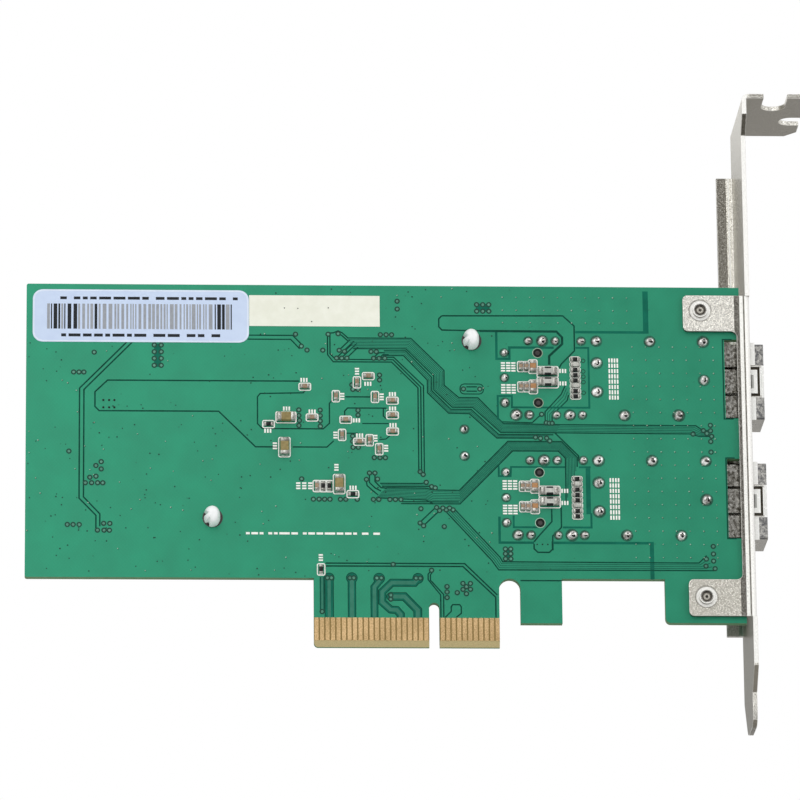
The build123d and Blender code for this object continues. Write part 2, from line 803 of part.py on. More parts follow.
# Chip parts on both faces
port_capacitors = [
    (x, height + z, 90)
    for height in port_heights.values() for x in port_capacitor_columns for z in port_capacitor_rows
]
filter_capacitors = [
    (port_filter_x, height + z, 90)
    for height in port_heights.values() for z in port_capacitor_rows
]
port_inductors = [
    (port_inductor_x, height + z, 0)
    for height in port_heights.values() for z in port_inductor_rows
]
resistor_middle = (port_resistor_count - 1) / 2
port_resistors = [
    (port_resistor_x, height + (i - resistor_middle) * port_resistor_pitch, 0)
    for height in port_heights.values() for i in range(port_resistor_count)
]
lane_capacitors = [(x, lane_capacitor_height, 90) for x in lane_capacitor_columns]
save_chips("large_capacitors", solder_face, 1, large_capacitors, large_size)
save_chips("small_capacitors", solder_face, 1, small_capacitors, small_size)
save_chips("small_resistors", solder_face, 1, small_resistors, resistor_size)
save_chips("port_capacitors", solder_face, 1, port_capacitors, port_capacitor_size)
save_chips("filter_capacitors", solder_face, 1, filter_capacitors, filter_size)
save_chips("port_inductors", solder_face, 1, port_inductors, inductor_size)
save_chips("port_resistors", solder_face, 1, port_resistors, resistor_size)
save_chips("lane_capacitors", component_face, -1, lane_capacitors, small_size)

# Solder cones round every pin that comes through to the solder side
with BuildPart() as solder_joints:
    with BuildSketch(solder_face):
        with Locations(*joint_places):
            RegularPolygon(joint_radius, 6)
    extrude(amount=joint_height, taper=joint_taper)
    with BuildSketch(solder_face):
        with Locations(*turned(cage_pins)):
            Rectangle(cage_pin_width, cage_sheet)
        with Locations(*crystal_pins):
            RegularPolygon(crystal_pin_radius, 8, major_radius=False)
    extrude(amount=joint_height, mode=Mode.SUBTRACT)
save(solder_joints, "solder_joints")

# Paper label on the solder side
with BuildPart() as label:
    with BuildSketch(solder_face):
        with Locations((label_left, label_top)):
            RectangleRounded(label_length, label_height, label_corner, align=(Align.MIN, Align.MAX))
    extrude(amount=label_skin)
save(label, "label")
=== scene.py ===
"""Two-port network interface card: finishes, printed board and fine parts.

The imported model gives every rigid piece. This scene dresses it, prints the board's copper,
vias and legend, replaces the small soldered parts with finer ones, and lights it all.
Sizes are millimetres unless a name says otherwise.
"""

import logging
import math
import random
from dataclasses import dataclass
from enum import Enum
from functools import partial
from typing import Callable, Iterable, Sequence

import bmesh
import bpy
from mathutils import Matrix, Vector

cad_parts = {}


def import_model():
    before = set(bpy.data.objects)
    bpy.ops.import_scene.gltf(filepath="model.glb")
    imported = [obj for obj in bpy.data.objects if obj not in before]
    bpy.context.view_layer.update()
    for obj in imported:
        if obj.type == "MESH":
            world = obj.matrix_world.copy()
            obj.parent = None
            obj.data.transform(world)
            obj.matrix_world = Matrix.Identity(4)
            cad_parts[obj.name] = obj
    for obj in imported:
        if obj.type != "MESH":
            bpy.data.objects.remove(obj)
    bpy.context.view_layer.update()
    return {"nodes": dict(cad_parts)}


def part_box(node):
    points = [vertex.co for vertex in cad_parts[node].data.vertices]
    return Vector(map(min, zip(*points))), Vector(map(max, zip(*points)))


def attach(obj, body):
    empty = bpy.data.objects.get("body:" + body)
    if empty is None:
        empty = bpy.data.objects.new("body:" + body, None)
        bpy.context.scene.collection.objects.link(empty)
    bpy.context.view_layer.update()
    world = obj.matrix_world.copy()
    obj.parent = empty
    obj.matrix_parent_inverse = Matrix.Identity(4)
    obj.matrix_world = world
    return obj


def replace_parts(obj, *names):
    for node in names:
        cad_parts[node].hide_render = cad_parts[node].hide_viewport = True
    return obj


LOG = logging.getLogger("card")
MM = 0.001
HALF_BOARD = 0.785
HAIR = 0.0004  # how far each printed shape lies above the last
HAIRS = 22  # how many are laid before the next one starts low again
SHARP = math.radians(50)
BEVEL_SHARE = 0.45  # the largest rounding, as a share of a box's shortest side
SAME_PLACE = 1e-6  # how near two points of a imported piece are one, in metres
Point = tuple[float, float]
Points = tuple[Point, ...]
Triple = tuple[float, float, float]
Box = tuple[float, float, float, float]
Nodes = dict[str, bpy.types.Object]


class Side(Enum):
    """The face of the board that something sits on, as the way that it stands off in Y."""

    SOLDER = -1
    COMPONENT = 1


class Lift(Enum):
    """How far each printed layer stands off the board's face, in millimetres."""

    GAP = 0.006
    TRACK = 0.018
    LANE = 0.027
    VIA = 0.03
    LEGEND = 0.042
    PAD = 0.055


class Way(Enum):
    """How a printed mark runs: along the board, or up it."""

    ALONG = "along"
    UP = "up"


def linear(code: str) -> tuple[float, float, float, float]:
    """Turn a written colour into the linear values that a shader takes.

    Args:
        code: six hexadecimal digits, red first.

    Returns:
        Linear red, green and blue, with an alpha of one.
    """
    parts = [int(code[i:i + 2], 16) / 255 for i in (0, 2, 4)]
    shades = [p / 12.92 if p <= 0.04045 else ((p + 0.055) / 1.055) ** 2.4 for p in parts]
    return (shades[0], shades[1], shades[2], 1.0)


def on_board(x: float, z: float, lift: float, side: Side = Side.SOLDER) -> Vector:
    """Place a point of the board's drawing in the model's frame.

    Args:
        x: distance toward the bracket.
        z: height.
        lift: distance off the board's face.
        side: the face of the board.

    Returns:
        The point in metres.
    """
    return Vector((x * MM, side.value * (HALF_BOARD + lift) * MM, z * MM))


class Graph:
    """A small helper that adds and joins shader nodes in one tree."""

    def __init__(self, tree: bpy.types.NodeTree) -> None:
        """Keep the tree that nodes are added to."""
        self.tree = tree

    def add(self, kind: str, **values: object) -> bpy.types.Node:
        """Add a node and set its properties and inputs.

        Args:
            kind: the node's type name without its ShaderNode prefix.
            values: properties by name, and inputs as in_<name>, with _ for a space.

        Returns:
            The new node.
        """
        full = kind if kind.startswith("Node") else "ShaderNode" + kind
        node = self.tree.nodes.new(full)
        for name, value in values.items():
            if name.startswith("in_"):
                self.feed(node, name[3:].replace("_", " "), value)
            else:
                setattr(node, name, value)
        return node

    def feed(self, node: bpy.types.Node, name: str, value: object) -> None:
        """Link or set one input, found by its name or its number.

        Args:
            node: the node to feed.
            name: the input's name, or its number as text.
            value: an output socket to link, or a value to set.
        """
        socket = node.inputs[int(name)] if name.isdigit() else node.inputs[name]
        if isinstance(value, bpy.types.NodeSocket):
            self.tree.links.new(value, socket)
        else:
            socket.default_value = value

    def fill(self, node: bpy.types.Node, values: dict[str, object]) -> None:
        """Link or set several inputs.

        Args:
            node: the node to feed.
            values: output sockets or plain values, by the inputs' names.
        """
        for name, value in values.items():
            self.feed(node, name, value)

    def math(self, operation: str, first: object, second: object = 0.0) -> bpy.types.NodeSocket:
        """Add one sum.

        Args:
            operation: the Math node's operation.
            first: first value or socket.
            second: second value or socket.

        Returns:
            The result's socket.
        """
        return self.add("Math", operation=operation, in_0=first, in_1=second).outputs[0]

    def mix(self, mask: object, first: object, second: object) -> bpy.types.NodeSocket:
        """Mix two colours by a mask.

        Args:
            mask: 0 gives the first colour, 1 the second.
            first: first colour or socket.
            second: second colour or socket.

        Returns:
            The mixed colour's socket.
        """
        node = self.add("Mix", data_type="RGBA")
        self.feed(node, "0", mask)
        self.feed(node, "6", first)
        self.feed(node, "7", second)
        return node.outputs[2]

    def span(self, value: object, low: float, high: float, start: float, end: float) -> bpy.types.NodeSocket:
        """Rescale a value from one range to another, held at its ends.

        Args:
            value: the value's socket.
            low: where the first range starts.
            high: where the first range ends.
            start: what low becomes.
            end: what high becomes.

        Returns:
            The rescaled value's socket.
        """
        node = self.add("MapRange", in_Value=value)
        for name, number in (("From Min", low), ("From Max", high), ("To Min", start), ("To Max", end)):
            node.inputs[name].default_value = number
        return node.outputs[0]


def add_object(name: str, data: bpy.types.ID) -> bpy.types.Object:
    """Make an object and link it to the scene.

    Args:
        name: the object's name.
        data: its mesh, lamp or camera.

    Returns:
        The new object.
    """
    made = bpy.data.objects.new(name, data)
    bpy.context.scene.collection.objects.link(made)
    return made


def empty_material(name: str) -> tuple[bpy.types.Material, Graph]:
    """Start a material that has no node yet.

    Args:
        name: the material's name.

    Returns:
        The material and its graph.
    """
    material = bpy.data.materials.new(name)
    material.use_nodes = True
    material.node_tree.nodes.clear()
    return material, Graph(material.node_tree)


def make_group(
    name: str, inputs: Sequence[tuple], outputs: Sequence[tuple],
) -> tuple[Graph, bpy.types.Node, bpy.types.Node]:
    """Start a shader node group.

    Args:
        name: the group's name.
        inputs: (name, socket type, starting value) of each input.
        outputs: (name, socket type) of each output.

    Returns:
        The group's graph, its input node and its output node.
    """
    tree = bpy.data.node_groups.new(name, "ShaderNodeTree")
    for label, kind, value in inputs:
        socket = tree.interface.new_socket(name=label, in_out="INPUT", socket_type=kind)
        socket.default_value = value
    for label, kind in outputs:
        tree.interface.new_socket(name=label, in_out="OUTPUT", socket_type=kind)
    graph = Graph(tree)
    return graph, graph.add("NodeGroupInput"), graph.add("NodeGroupOutput")


def grain_group() -> bpy.types.NodeTree:
    """Build the fine grain that most finishes share.

    Returns:
        A group that mixes two colours and two roughnesses by two sizes of noise.
    """
    graph, given, out = make_group(
        "fine grain",
        (
            ("Colour", "NodeSocketColor", (0.5, 0.5, 0.5, 1)),
            ("Second Colour", "NodeSocketColor", (0.4, 0.4, 0.4, 1)),
            ("Scale", "NodeSocketFloat", 1000.0),
            ("Stretch", "NodeSocketVector", (1.0, 1.0, 1.0)),
            ("Roughness", "NodeSocketFloat", 0.4),
            ("Spread", "NodeSocketFloat", 0.1),
        ),
        (("Colour", "NodeSocketColor"), ("Roughness", "NodeSocketFloat"), ("Height", "NodeSocketFloat")),
    )
    place = graph.add("TexCoord").outputs["Object"]
    stretch, scale = given.outputs["Stretch"], given.outputs["Scale"]
    stretched = graph.add("VectorMath", operation="MULTIPLY", in_0=place, in_1=stretch).outputs[0]
    fine = graph.add("TexNoise", in_Vector=stretched, in_Scale=scale, in_Detail=3.0).outputs[0]
    wide_scale = graph.math("MULTIPLY", scale, 0.08)
    wide = graph.add("TexNoise", in_Vector=stretched, in_Scale=wide_scale, in_Detail=2.0).outputs[0]
    both = graph.math("ADD", graph.math("MULTIPLY", fine, 0.65), graph.math("MULTIPLY", wide, 0.35))
    mask = graph.span(both, 0.36, 0.64, 0.0, 1.0)
    graph.feed(out, "Colour", graph.mix(mask, given.outputs["Colour"], given.outputs["Second Colour"]))
    swing = graph.math("MULTIPLY", graph.math("SUBTRACT", wide, 0.5), given.outputs["Spread"])
    graph.feed(out, "Roughness", graph.math("ADD", given.outputs["Roughness"], swing))
    graph.feed(out, "Height", fine)
    return graph.tree


def edge_group() -> bpy.types.NodeTree:
    """Build rounded edges.

    Returns:
        A group with the rounded normal, and a mask that is one where an edge turns.
    """
    graph, given, out = make_group(
        "rounded edges and highlight mask",
        (("Radius", "NodeSocketFloat", 0.0001),),
        (("Mask", "NodeSocketFloat"), ("Normal", "NodeSocketVector")),
    )
    turned = graph.add("Bevel", samples=6, in_Radius=given.outputs["Radius"]).outputs[0]
    flat = graph.add("NewGeometry").outputs["True Normal"]
    along = graph.add("VectorMath", operation="DOT_PRODUCT", in_0=turned, in_1=flat).outputs["Value"]
    graph.feed(out, "Mask", graph.span(along, 0.99, 0.9, 0.0, 1.0))
    graph.feed(out, "Normal", turned)
    return graph.tree


def speckle_group() -> bpy.types.NodeTree:
    """Build scattered small pits and dust specks.

    Returns:
        A group whose mask is one at the middle of each speck.
    """
    graph, given, out = make_group(
        "specks",
        (("Scale", "NodeSocketFloat", 400.0), ("Size", "NodeSocketFloat", 0.12)),
        (("Mask", "NodeSocketFloat"),),
    )
    place = graph.add("TexCoord").outputs["Object"]
    cells = graph.add("TexVoronoi", in_Vector=place, in_Scale=given.outputs["Scale"]).outputs["Distance"]
    graph.feed(out, "Mask", graph.math("LESS_THAN", cells, given.outputs["Size"]))
    return graph.tree


@dataclass(frozen=True)
class Finish:
    """A finish made of the shared grain: two near colours, a gloss and a bump."""

    name: str
    colour: str
    second: str
    roughness: float = 0.4
    spread: float = 0.1
    metallic: float = 0.0
    scale: float = 1200.0
    stretch: Triple = (1.0, 1.0, 1.0)
    bump: float = 0.1
    depth: float = 0.02
    coat: float = 0.0
    coat_roughness: float = 0.12
    edge: float = 0.0
    shine: float = 0.2

    def build(self, shop: "Paintshop") -> bpy.types.Material:
        """Make the material.

        Args:
            shop: where the shared groups are kept.

        Returns:
            The new material.
        """
        material, graph, shader = shop.blank(self.name)
        grain = shop.place(graph, "grain")
        graph.fill(grain, {
            "Colour": linear(self.colour), "Second Colour": linear(self.second), "Scale": self.scale,
            "Stretch": self.stretch, "Roughness": self.roughness, "Spread": self.spread,
        })
        height = grain.outputs["Height"]
        bump = graph.add("Bump", in_Height=height, in_Strength=self.bump, in_Distance=self.depth * MM)
        if self.edge:
            graph.feed(bump, "Normal", shop.rounded(graph, self.edge).outputs["Normal"])
        graph.fill(shader, {
            "Base Color": grain.outputs["Colour"], "Roughness": grain.outputs["Roughness"],
            "Metallic": self.metallic, "Coat Weight": self.coat, "Coat Roughness": self.coat_roughness,
            "Specular IOR Level": self.shine, "Normal": bump.outputs[0],
        })
        return material


@dataclass(frozen=True)
class Laminate:
    """The green solder mask over copper and glass cloth, with bare edges and tongue tip."""

    name: str = "green laminate"
    mask: str = "249571"
    mask_far_shaded: str = "1F8666"
    speck: str = "1E6E52"
    cut_edge: str = "5E7F5A"
    tip: str = "BAA97C"
    between: str = "8C7440"
    contact_top: float = 5.45
    bevel_rise: float = 1.2
    length: Point = (-74.6, 57.1)
    tongue: Point = (-5.0, 17.3)
    mottle_scale: float = 160.0
    cloth: Point = (9000.0, 8200.0)
    speck_scale: float = 330.0
    speck_size: float = 0.055
    bump: float = 0.12
    depth: float = 0.02
    shine: float = 0.2

    def build(self, shop: "Paintshop") -> bpy.types.Material:
        """Make the material.

        Args:
            shop: where the shared groups are kept.

        Returns:
            The new material.
        """
        material, graph, shader = shop.blank(self.name)
        place = graph.add("TexCoord").outputs["Object"]
        axes = graph.add("SeparateXYZ", in_Vector=place)
        across = graph.span(axes.outputs["X"], self.length[0] * MM, self.length[1] * MM, 0.0, 1.0)
        mottle = graph.add("TexNoise", in_Vector=place, in_Scale=self.mottle_scale, in_Detail=5.0).outputs[0]
        cloth_x = graph.math("SINE", graph.math("MULTIPLY", axes.outputs["X"], self.cloth[0]))
        cloth_z = graph.math("SINE", graph.math("MULTIPLY", axes.outputs["Z"], self.cloth[1]))
        cloth = graph.math("MULTIPLY", cloth_x, cloth_z)
        # Painted shade: the green darkens along the board toward the bracket end.
        green = graph.mix(across, linear(self.mask), linear(self.mask_far_shaded))
        weave = graph.math("MULTIPLY", cloth, 0.02)
        shade = graph.math("ADD", graph.span(mottle, 0.3, 0.7, 0.93, 1.07), weave)
        hue = graph.add("HueSaturation", in_Color=green, in_Value=shade).outputs[0]
        specks = shop.place(graph, "specks")
        graph.fill(specks, {"Scale": self.speck_scale, "Size": self.speck_size})
        dusty = graph.mix(graph.math("MULTIPLY", specks.outputs["Mask"], 0.55), hue, linear(self.speck))
        low = graph.math("LESS_THAN", axes.outputs["Z"], self.contact_top * MM)
        away = graph.math("ABSOLUTE", graph.math("SUBTRACT", axes.outputs["X"], self.tongue[0] * MM))
        middle = graph.math("LESS_THAN", away, self.tongue[1] * MM)
        tongue = graph.math("MULTIPLY", low, middle)
        gaps = graph.mix(tongue, dusty, linear(self.between))
        bevel = graph.math("LESS_THAN", axes.outputs["Z"], self.bevel_rise * MM)
        tipped = graph.mix(graph.math("MULTIPLY", bevel, middle), gaps, linear(self.tip))
        facing = graph.add("SeparateXYZ", in_Vector=graph.add("TexCoord").outputs["Normal"])
        side = graph.math("LESS_THAN", graph.math("ABSOLUTE", facing.outputs["Y"]), 0.3)
        graph.feed(shader, "Base Color", graph.mix(side, tipped, linear(self.cut_edge)))
        sawn = graph.math("MULTIPLY", side, 0.35)
        graph.feed(shader, "Roughness", graph.math("ADD", graph.span(mottle, 0.3, 0.7, 0.3, 0.38), sawn))
        height = graph.math("ADD", graph.math("MULTIPLY", cloth, 0.25), mottle)
        bump = graph.add("Bump", in_Height=height, in_Strength=self.bump, in_Distance=self.depth * MM)
        graph.fill(shader, {"Normal": bump.outputs[0], "Specular IOR Level": self.shine})
        return material


@dataclass(frozen=True)
class Patch:
    """A box of a sheet's near-facing skin with its own painted tone: a painted reflection or painted shade.
    A box of a sheet's near-facing skin that another tool, bend or shelter gave its own tone.
    """

    x: Point
    y: Point
    z: Point
    colour: str
    metallic: float = 1.0
    grain: float = 0.4

    def mask(self, graph: Graph, axes: bpy.types.Node) -> bpy.types.NodeSocket:
        """Return a mask that is one inside the box.

        Args:
            graph: the material's graph.
            axes: the node that parts the position.

        Returns:
            The mask's socket.
        """
        inside = None
        for axis, (low, high) in zip("XYZ", (self.x, self.y, self.z)):
            middle, half = (low + high) / 2 * MM, (high - low) / 2 * MM
            away = graph.math("ABSOLUTE", graph.math("SUBTRACT", axes.outputs[axis], middle))
            part = graph.math("LESS_THAN", away, half)
            inside = part if inside is None else graph.math("MULTIPLY", inside, part)
        return inside


@dataclass(frozen=True)
class RingPatch:
    """A ring of a sheet's near-facing skin with its own painted tone, such as painted shade or a painted
    highlight round a collar's lip.
    """

    x: float
    z: float
    radii: Point
    colour: str
    metallic: float = 1.0
    grain: float = 0.4

    def mask(self, graph: Graph, axes: bpy.types.Node) -> bpy.types.NodeSocket:
        """Return a mask that is one inside the ring.

        Args:
            graph: the material's graph.
            axes: the node that parts the position.

        Returns:
            The mask's socket.
        """
        across = graph.math("POWER", graph.math("SUBTRACT", axes.outputs["X"], self.x * MM), 2.0)
        up = graph.math("POWER", graph.math("SUBTRACT", axes.outputs["Z"], self.z * MM), 2.0)
        reach = graph.math("SQRT", graph.math("ADD", across, up))
        inner, outer = self.radii
        past = graph.math("GREATER_THAN", reach, inner * MM)
        return graph.math("MULTIPLY", past, graph.math("LESS_THAN", reach, outer * MM))


@dataclass(frozen=True)
class PlatedSheet:
    """Nickel over rolled steel: a peened skin, rounded sheared edges, and painted shade, reflections and
    highlights.
    """

    name: str
    colour: str
    second: str
    roughness: float = 0.3
    scale: float = 2600.0
    pits: float = 0.25
    edge: float = 0.12
    # under and inner are painted shade for faces that look down, and inward (-X); inward ones also lose
    # their bump.
    under: str = "8E887C"
    inner: str = ""
    # The colour of the painted highlight along every turned edge.
    highlit_edges: str = "F2F0EA"
    depth: float = 0.03
    # patches paint reflections and shade onto the near-facing skin.
    patches: tuple[Patch | RingPatch, ...] = ()

    def build(self, shop: "Paintshop") -> bpy.types.Material:
        """Make the material.

        Args:
            shop: where the shared groups are kept.

        Returns:
            The new material.
        """
        material, graph, shader = shop.blank(self.name)
        place = graph.add("TexCoord")
        at = place.outputs["Object"]
        facing = graph.add("SeparateXYZ", in_Vector=place.outputs["Normal"])
        fine = graph.add(
            "TexNoise", in_Vector=at, in_Scale=self.scale, in_Detail=4.0, in_Roughness=0.7,
        ).outputs[0]
        cells = graph.add("TexVoronoi", in_Vector=at, in_Scale=self.scale * 0.9).outputs["Distance"]
        pitted = graph.span(cells, 0.12, 0.5, 1.0, 0.0)
        mask = graph.math("ADD", graph.span(fine, 0.38, 0.62, 0.0, 0.7), graph.math("MULTIPLY", pitted, 0.3))
        highlit_edges = shop.rounded(graph, self.edge)
        skin = graph.mix(mask, linear(self.colour), linear(self.second))
        smooth = 0.0
        # Faces that look inward get the painted shade colour, and no bump.
        if self.inner:
            smooth = graph.math("LESS_THAN", facing.outputs["X"], -0.6)
            skin = graph.mix(smooth, skin, linear(self.inner))
        # Faces that look down get the painted shade colour.
        skin = graph.mix(graph.math("LESS_THAN", facing.outputs["Z"], -0.6), skin, linear(self.under))
        axes = graph.add("SeparateXYZ", in_Vector=at)
        near = graph.math("LESS_THAN", facing.outputs["Y"], -0.2)
        metallic = 1.0
        # Each patch paints a reflection or a shade onto the skin that faces the near side.
        for patch in self.patches:
            box = graph.math("MULTIPLY", patch.mask(graph, axes), near)
            metallic = graph.math("SUBTRACT", metallic, graph.math("MULTIPLY", box, 1.0 - patch.metallic))
            depth = graph.math("MULTIPLY", box, graph.span(mask, 0.0, 0.8, 1.0 - patch.grain, 1.0))
            skin = graph.mix(depth, skin, linear(patch.colour))
        # Painted highlight: every turned edge is mixed toward a near-white colour.
        skin = graph.mix(graph.math("MULTIPLY", highlit_edges.outputs["Mask"], 0.8), skin, linear(self.highlit_edges))
        height = graph.math("MULTIPLY", mask, graph.math("SUBTRACT", 1.0, smooth))
        bump = graph.add("Bump", in_Height=height, in_Normal=highlit_edges.outputs["Normal"])
        graph.fill(bump, {"Strength": self.pits, "Distance": self.depth * MM})
        low, high = self.roughness - 0.06, self.roughness + 0.14
        graph.fill(shader, {
            "Base Color": skin, "Roughness": graph.span(mask, 0.0, 1.0, low, high), "Metallic": metallic,
            "Normal": bump.outputs[0],
        })
        return material


class Paintshop:
    """Holds the shared shader groups and every material, each built once."""

    def __init__(self) -> None:
        """Build the shared groups."""
        self.groups = {"grain": grain_group(), "specks": speckle_group(), "edges": edge_group()}
        self.made: dict[str, bpy.types.Material] = {}

    def place(self, graph: Graph, group: str) -> bpy.types.Node:
        """Place a shared group in a material.

        Args:
            graph: the material's graph.
            group: the group's short name.

        Returns:
            The group node.
        """
        node = graph.add("Group")
        node.node_tree = self.groups[group]
        return node

    def rounded(self, graph: Graph, radius: float) -> bpy.types.Node:
        """Place the rounded edges in a material.

        Args:
            graph: the material's graph.
            radius: how far the rounding reaches, in millimetres.

        Returns:
            The group node.
        """
        node = self.place(graph, "edges")
        node.inputs["Radius"].default_value = radius * MM
        return node

    def blank(self, name: str) -> tuple[bpy.types.Material, Graph, bpy.types.Node]:
        """Start a material that holds only its shader and output.

        Args:
            name: the material's name.

        Returns:
            The material, its graph and its Principled shader.
        """
        material, graph = empty_material(name)
        shader = graph.add("BsdfPrincipled")
        graph.add("OutputMaterial", in_Surface=shader.outputs[0])
        return material, graph, shader

    def get(self, finish: "AnyFinish") -> bpy.types.Material:
        """Return a finish's material, building it on first use.

        Args:
            finish: the finish.

        Returns:
            Its material.
        """
        if finish.name not in self.made:
            self.made[finish.name] = finish.build(self)
        return self.made[finish.name]

    def dress(self, node: bpy.types.Object, finish: "AnyFinish") -> None:
        """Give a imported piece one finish, without touching its mesh.

        Args:
            node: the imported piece.
            finish: the finish to give it.
        """
        if not node.material_slots:
            node.data.materials.append(None)
        for slot in node.material_slots:
            slot.material = self.get(finish)


AnyFinish = Finish | Laminate | PlatedSheet


def loop_pairs(items: Sequence) -> list[tuple]:
    """Pair each item with the next one, and the last with the first."""
    return list(zip(items, [*items[1:], items[0]]))


class MeshMaker:
    """Gathers the faces of one piece, with a finish for each part of it."""

    def __init__(self, name: str) -> None:
        """Start an empty piece of this name."""
        self.name = name
        self.finishes: dict[AnyFinish, int] = {}
        self.mesh = bmesh.new()
        self.laid = 0

    def height(self, lift: Lift) -> float:
        """Return a printed shape's lift: each lies a hair above the last, so that none share a plane."""
        self.laid += 1
        return lift.value + HAIR * (self.laid % HAIRS)

    def number(self, finish: AnyFinish) -> int:
        """Return the number that the piece's faces give a finish."""
        return self.finishes.setdefault(finish, len(self.finishes))

    def sheet(
        self, outline: Sequence[Point], lift: float, finish: AnyFinish, side: Side = Side.SOLDER,
    ) -> None:
        """Lay a flat printed shape on the board.

        Args:
            outline: its corners as (x, z).
            lift: how far it stands off the board.
            finish: its finish.
            side: the face of the board.
        """
        area = sum(a[0] * b[1] - b[0] * a[1] for a, b in loop_pairs(outline))
        ordered = outline if (area > 0) == (side is Side.SOLDER) else outline[::-1]
        corners = [self.mesh.verts.new(on_board(x, z, lift, side)) for x, z in ordered]
        self.mesh.faces.new(corners).material_index = self.number(finish)

    def band(self, outer: Sequence[Point], inner: Sequence[Point], lift: float, finish: AnyFinish) -> None:
        """Lay the flat strip between two outlines.

        Args:
            outer: the outer outline's corners as (x, z), counted anticlockwise.
            inner: the inner outline's corners, as many and in the same order.
            lift: how far it stands off the board.
            finish: its finish.
        """
        for (a, b), (d, c) in zip(loop_pairs(outer), loop_pairs(inner)):
            self.sheet((a, b, c, d), lift, finish)

    def ribbon(
        self, points: Sequence[Point], width: float, lift: Lift, finish: AnyFinish, side: Side = Side.SOLDER,
    ) -> None:
        """Lay a printed line of even width along a path, with mitred corners.

        Args:
            points: the path as (x, z).
            width: the line's width.
            lift: the printed layer.
            finish: its finish.
            side: the face of the board.
        """
        left, right = offset_path(points, width / 2), offset_path(points, -width / 2)
        rise = self.height(lift)
        if side is not Side.SOLDER:
            left, right = right, left
        rows = [[self.mesh.verts.new(on_board(x, z, rise, side)) for x, z in row] for row in (left, right)]
        for i in range(len(points) - 1):
            corners = (rows[1][i], rows[1][i + 1], rows[0][i + 1], rows[0][i])
            self.mesh.faces.new(corners).material_index = self.number(finish)

    def ring(
        self, x: float, z: float, radii: Point, lift: Lift, finish: AnyFinish, sides: int = 16,
    ) -> None:
        """Lay a printed ring, or a disc where the inner radius is zero.

        Args:
            x: distance toward the bracket.
            z: height.
            radii: inner and outer radius.
            lift: the printed layer.
            finish: its finish.
            sides: how many sides its circles have.
        """
        inner, outer = radii
        rim, rise = circle(x, z, outer, sides), self.height(lift)
        if inner > 0:
            self.band(rim, circle(x, z, inner, sides), rise, finish)
        else:
            self.sheet(rim, rise, finish)

    def frame(self, box: Box, width: float, radius: float, lift: Lift, finish: AnyFinish) -> None:
        """Lay a printed outline of a rounded box.

        Args:
            box: left, bottom, right and top of the line's middle.
            width: the line's width.
            radius: the corner radius of the line's middle.
            lift: the printed layer.
            finish: its finish.
        """
        outer, inner = (rounded_box(box, radius, grow) for grow in (width / 2, -width / 2))
        self.band(outer, inner, self.height(lift), finish)

    def patch(self, centre: Point, size: Point, lift: Lift, finish: AnyFinish) -> None:
        """Lay a printed rectangle.

        Args:
            centre: its middle as (x, z).
            size: its length along the board and its height.
            lift: the printed layer.
            finish: its finish.
        """
        (x, z), (a, b) = centre, (size[0] / 2, size[1] / 2)
        corners = ((x - a, z - b), (x + a, z - b), (x + a, z + b), (x - a, z + b))
        self.sheet(corners, self.height(lift), finish)

    def soft_box(self, low: Vector, high: Vector, bevel: float, finish: AnyFinish, steps: int = 2) -> None:
        """Add a box with rounded edges.

        Args:
            low: lowest corner in metres.
            high: highest corner in metres.
            bevel: size of the rounding in millimetres.
            finish: its finish.
            steps: how many faces each rounding has.
        """
        size = high - low
        place = Matrix.Translation((low + high) / 2) @ Matrix.Diagonal((*size, 1))
        made = bmesh.ops.create_cube(self.mesh, size=1.0, matrix=place)
        edges = list({e for v in made["verts"] for e in v.link_edges})
        offset = min(bevel * MM, min(size) * BEVEL_SHARE)
        done = bmesh.ops.bevel(
            self.mesh, geom=edges, offset=offset, segments=steps, profile=0.5, affect="EDGES",
        )
        for face in {f for v in done["verts"] for f in v.link_faces}:
            face.material_index = self.number(finish)

    def skin(self, rows: Sequence[Sequence[Vector]], finish: AnyFinish) -> None:
        """Join closed rows of points into one skin with a cap at each end.

        Args:
            rows: the points, row by row, with as many in each.
            finish: its finish.
        """
        laid = [[self.mesh.verts.new(point) for point in row] for row in rows]
        faces = [
            (a, b, c, d) for low, high in zip(laid, laid[1:])
            for (a, b), (d, c) in zip(loop_pairs(low), loop_pairs(high))
        ]
        for corners in (*faces, laid[-1], laid[0][::-1]):
            self.mesh.faces.new(corners).material_index = self.number(finish)

    def turned(
        self, profile: Sequence[Point], centre: Vector, sides: int, finish: AnyFinish,
        squash: Callable[[float], float] = lambda angle: 1.0, out: int = -1,
    ) -> None:
        """Turn a profile round an axis that stands off the board.

        Args:
            profile: (radius, distance off the centre) pairs, in millimetres.
            centre: where the axis starts, in metres.
            sides: how many sides the turned form has.
            finish: its finish.
            squash: gives a factor for the radius by the angle round the axis.
            out: the way that the distances run along Y.
        """
        rows = []
        for radius, rise in profile:
            rows.append([])
            for i in range(sides):
                angle = math.tau * i / sides
                reach = radius * squash(angle)
                spot = Vector((reach * math.cos(angle), out * rise, reach * math.sin(angle)))
                rows[-1].append(centre + spot * MM)
        self.skin(rows, finish)

    def build(self, shop: Paintshop, slot: str, smooth: bool = False) -> bpy.types.Object:
        """Make the piece, dress it and let it ride on the card.

        Args:
            shop: where the materials are kept.
            slot: the record's material slot that it belongs to; it is not used.
            smooth: whether its faces are shaded smooth up to sharp corners.

        Returns:
            The new piece.
        """
        data = bpy.data.meshes.new(self.name)
        if smooth:
            bmesh.ops.recalc_face_normals(self.mesh, faces=list(self.mesh.faces))
        self.mesh.to_mesh(data)
        self.mesh.free()
        for finish in self.finishes:
            data.materials.append(shop.get(finish))
        if smooth:
            data.polygons.foreach_set("use_smooth", [True] * len(data.polygons))
            data.set_sharp_from_angle(angle=SHARP)
        piece = add_object(self.name, data)
        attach(piece, "root")
        return piece


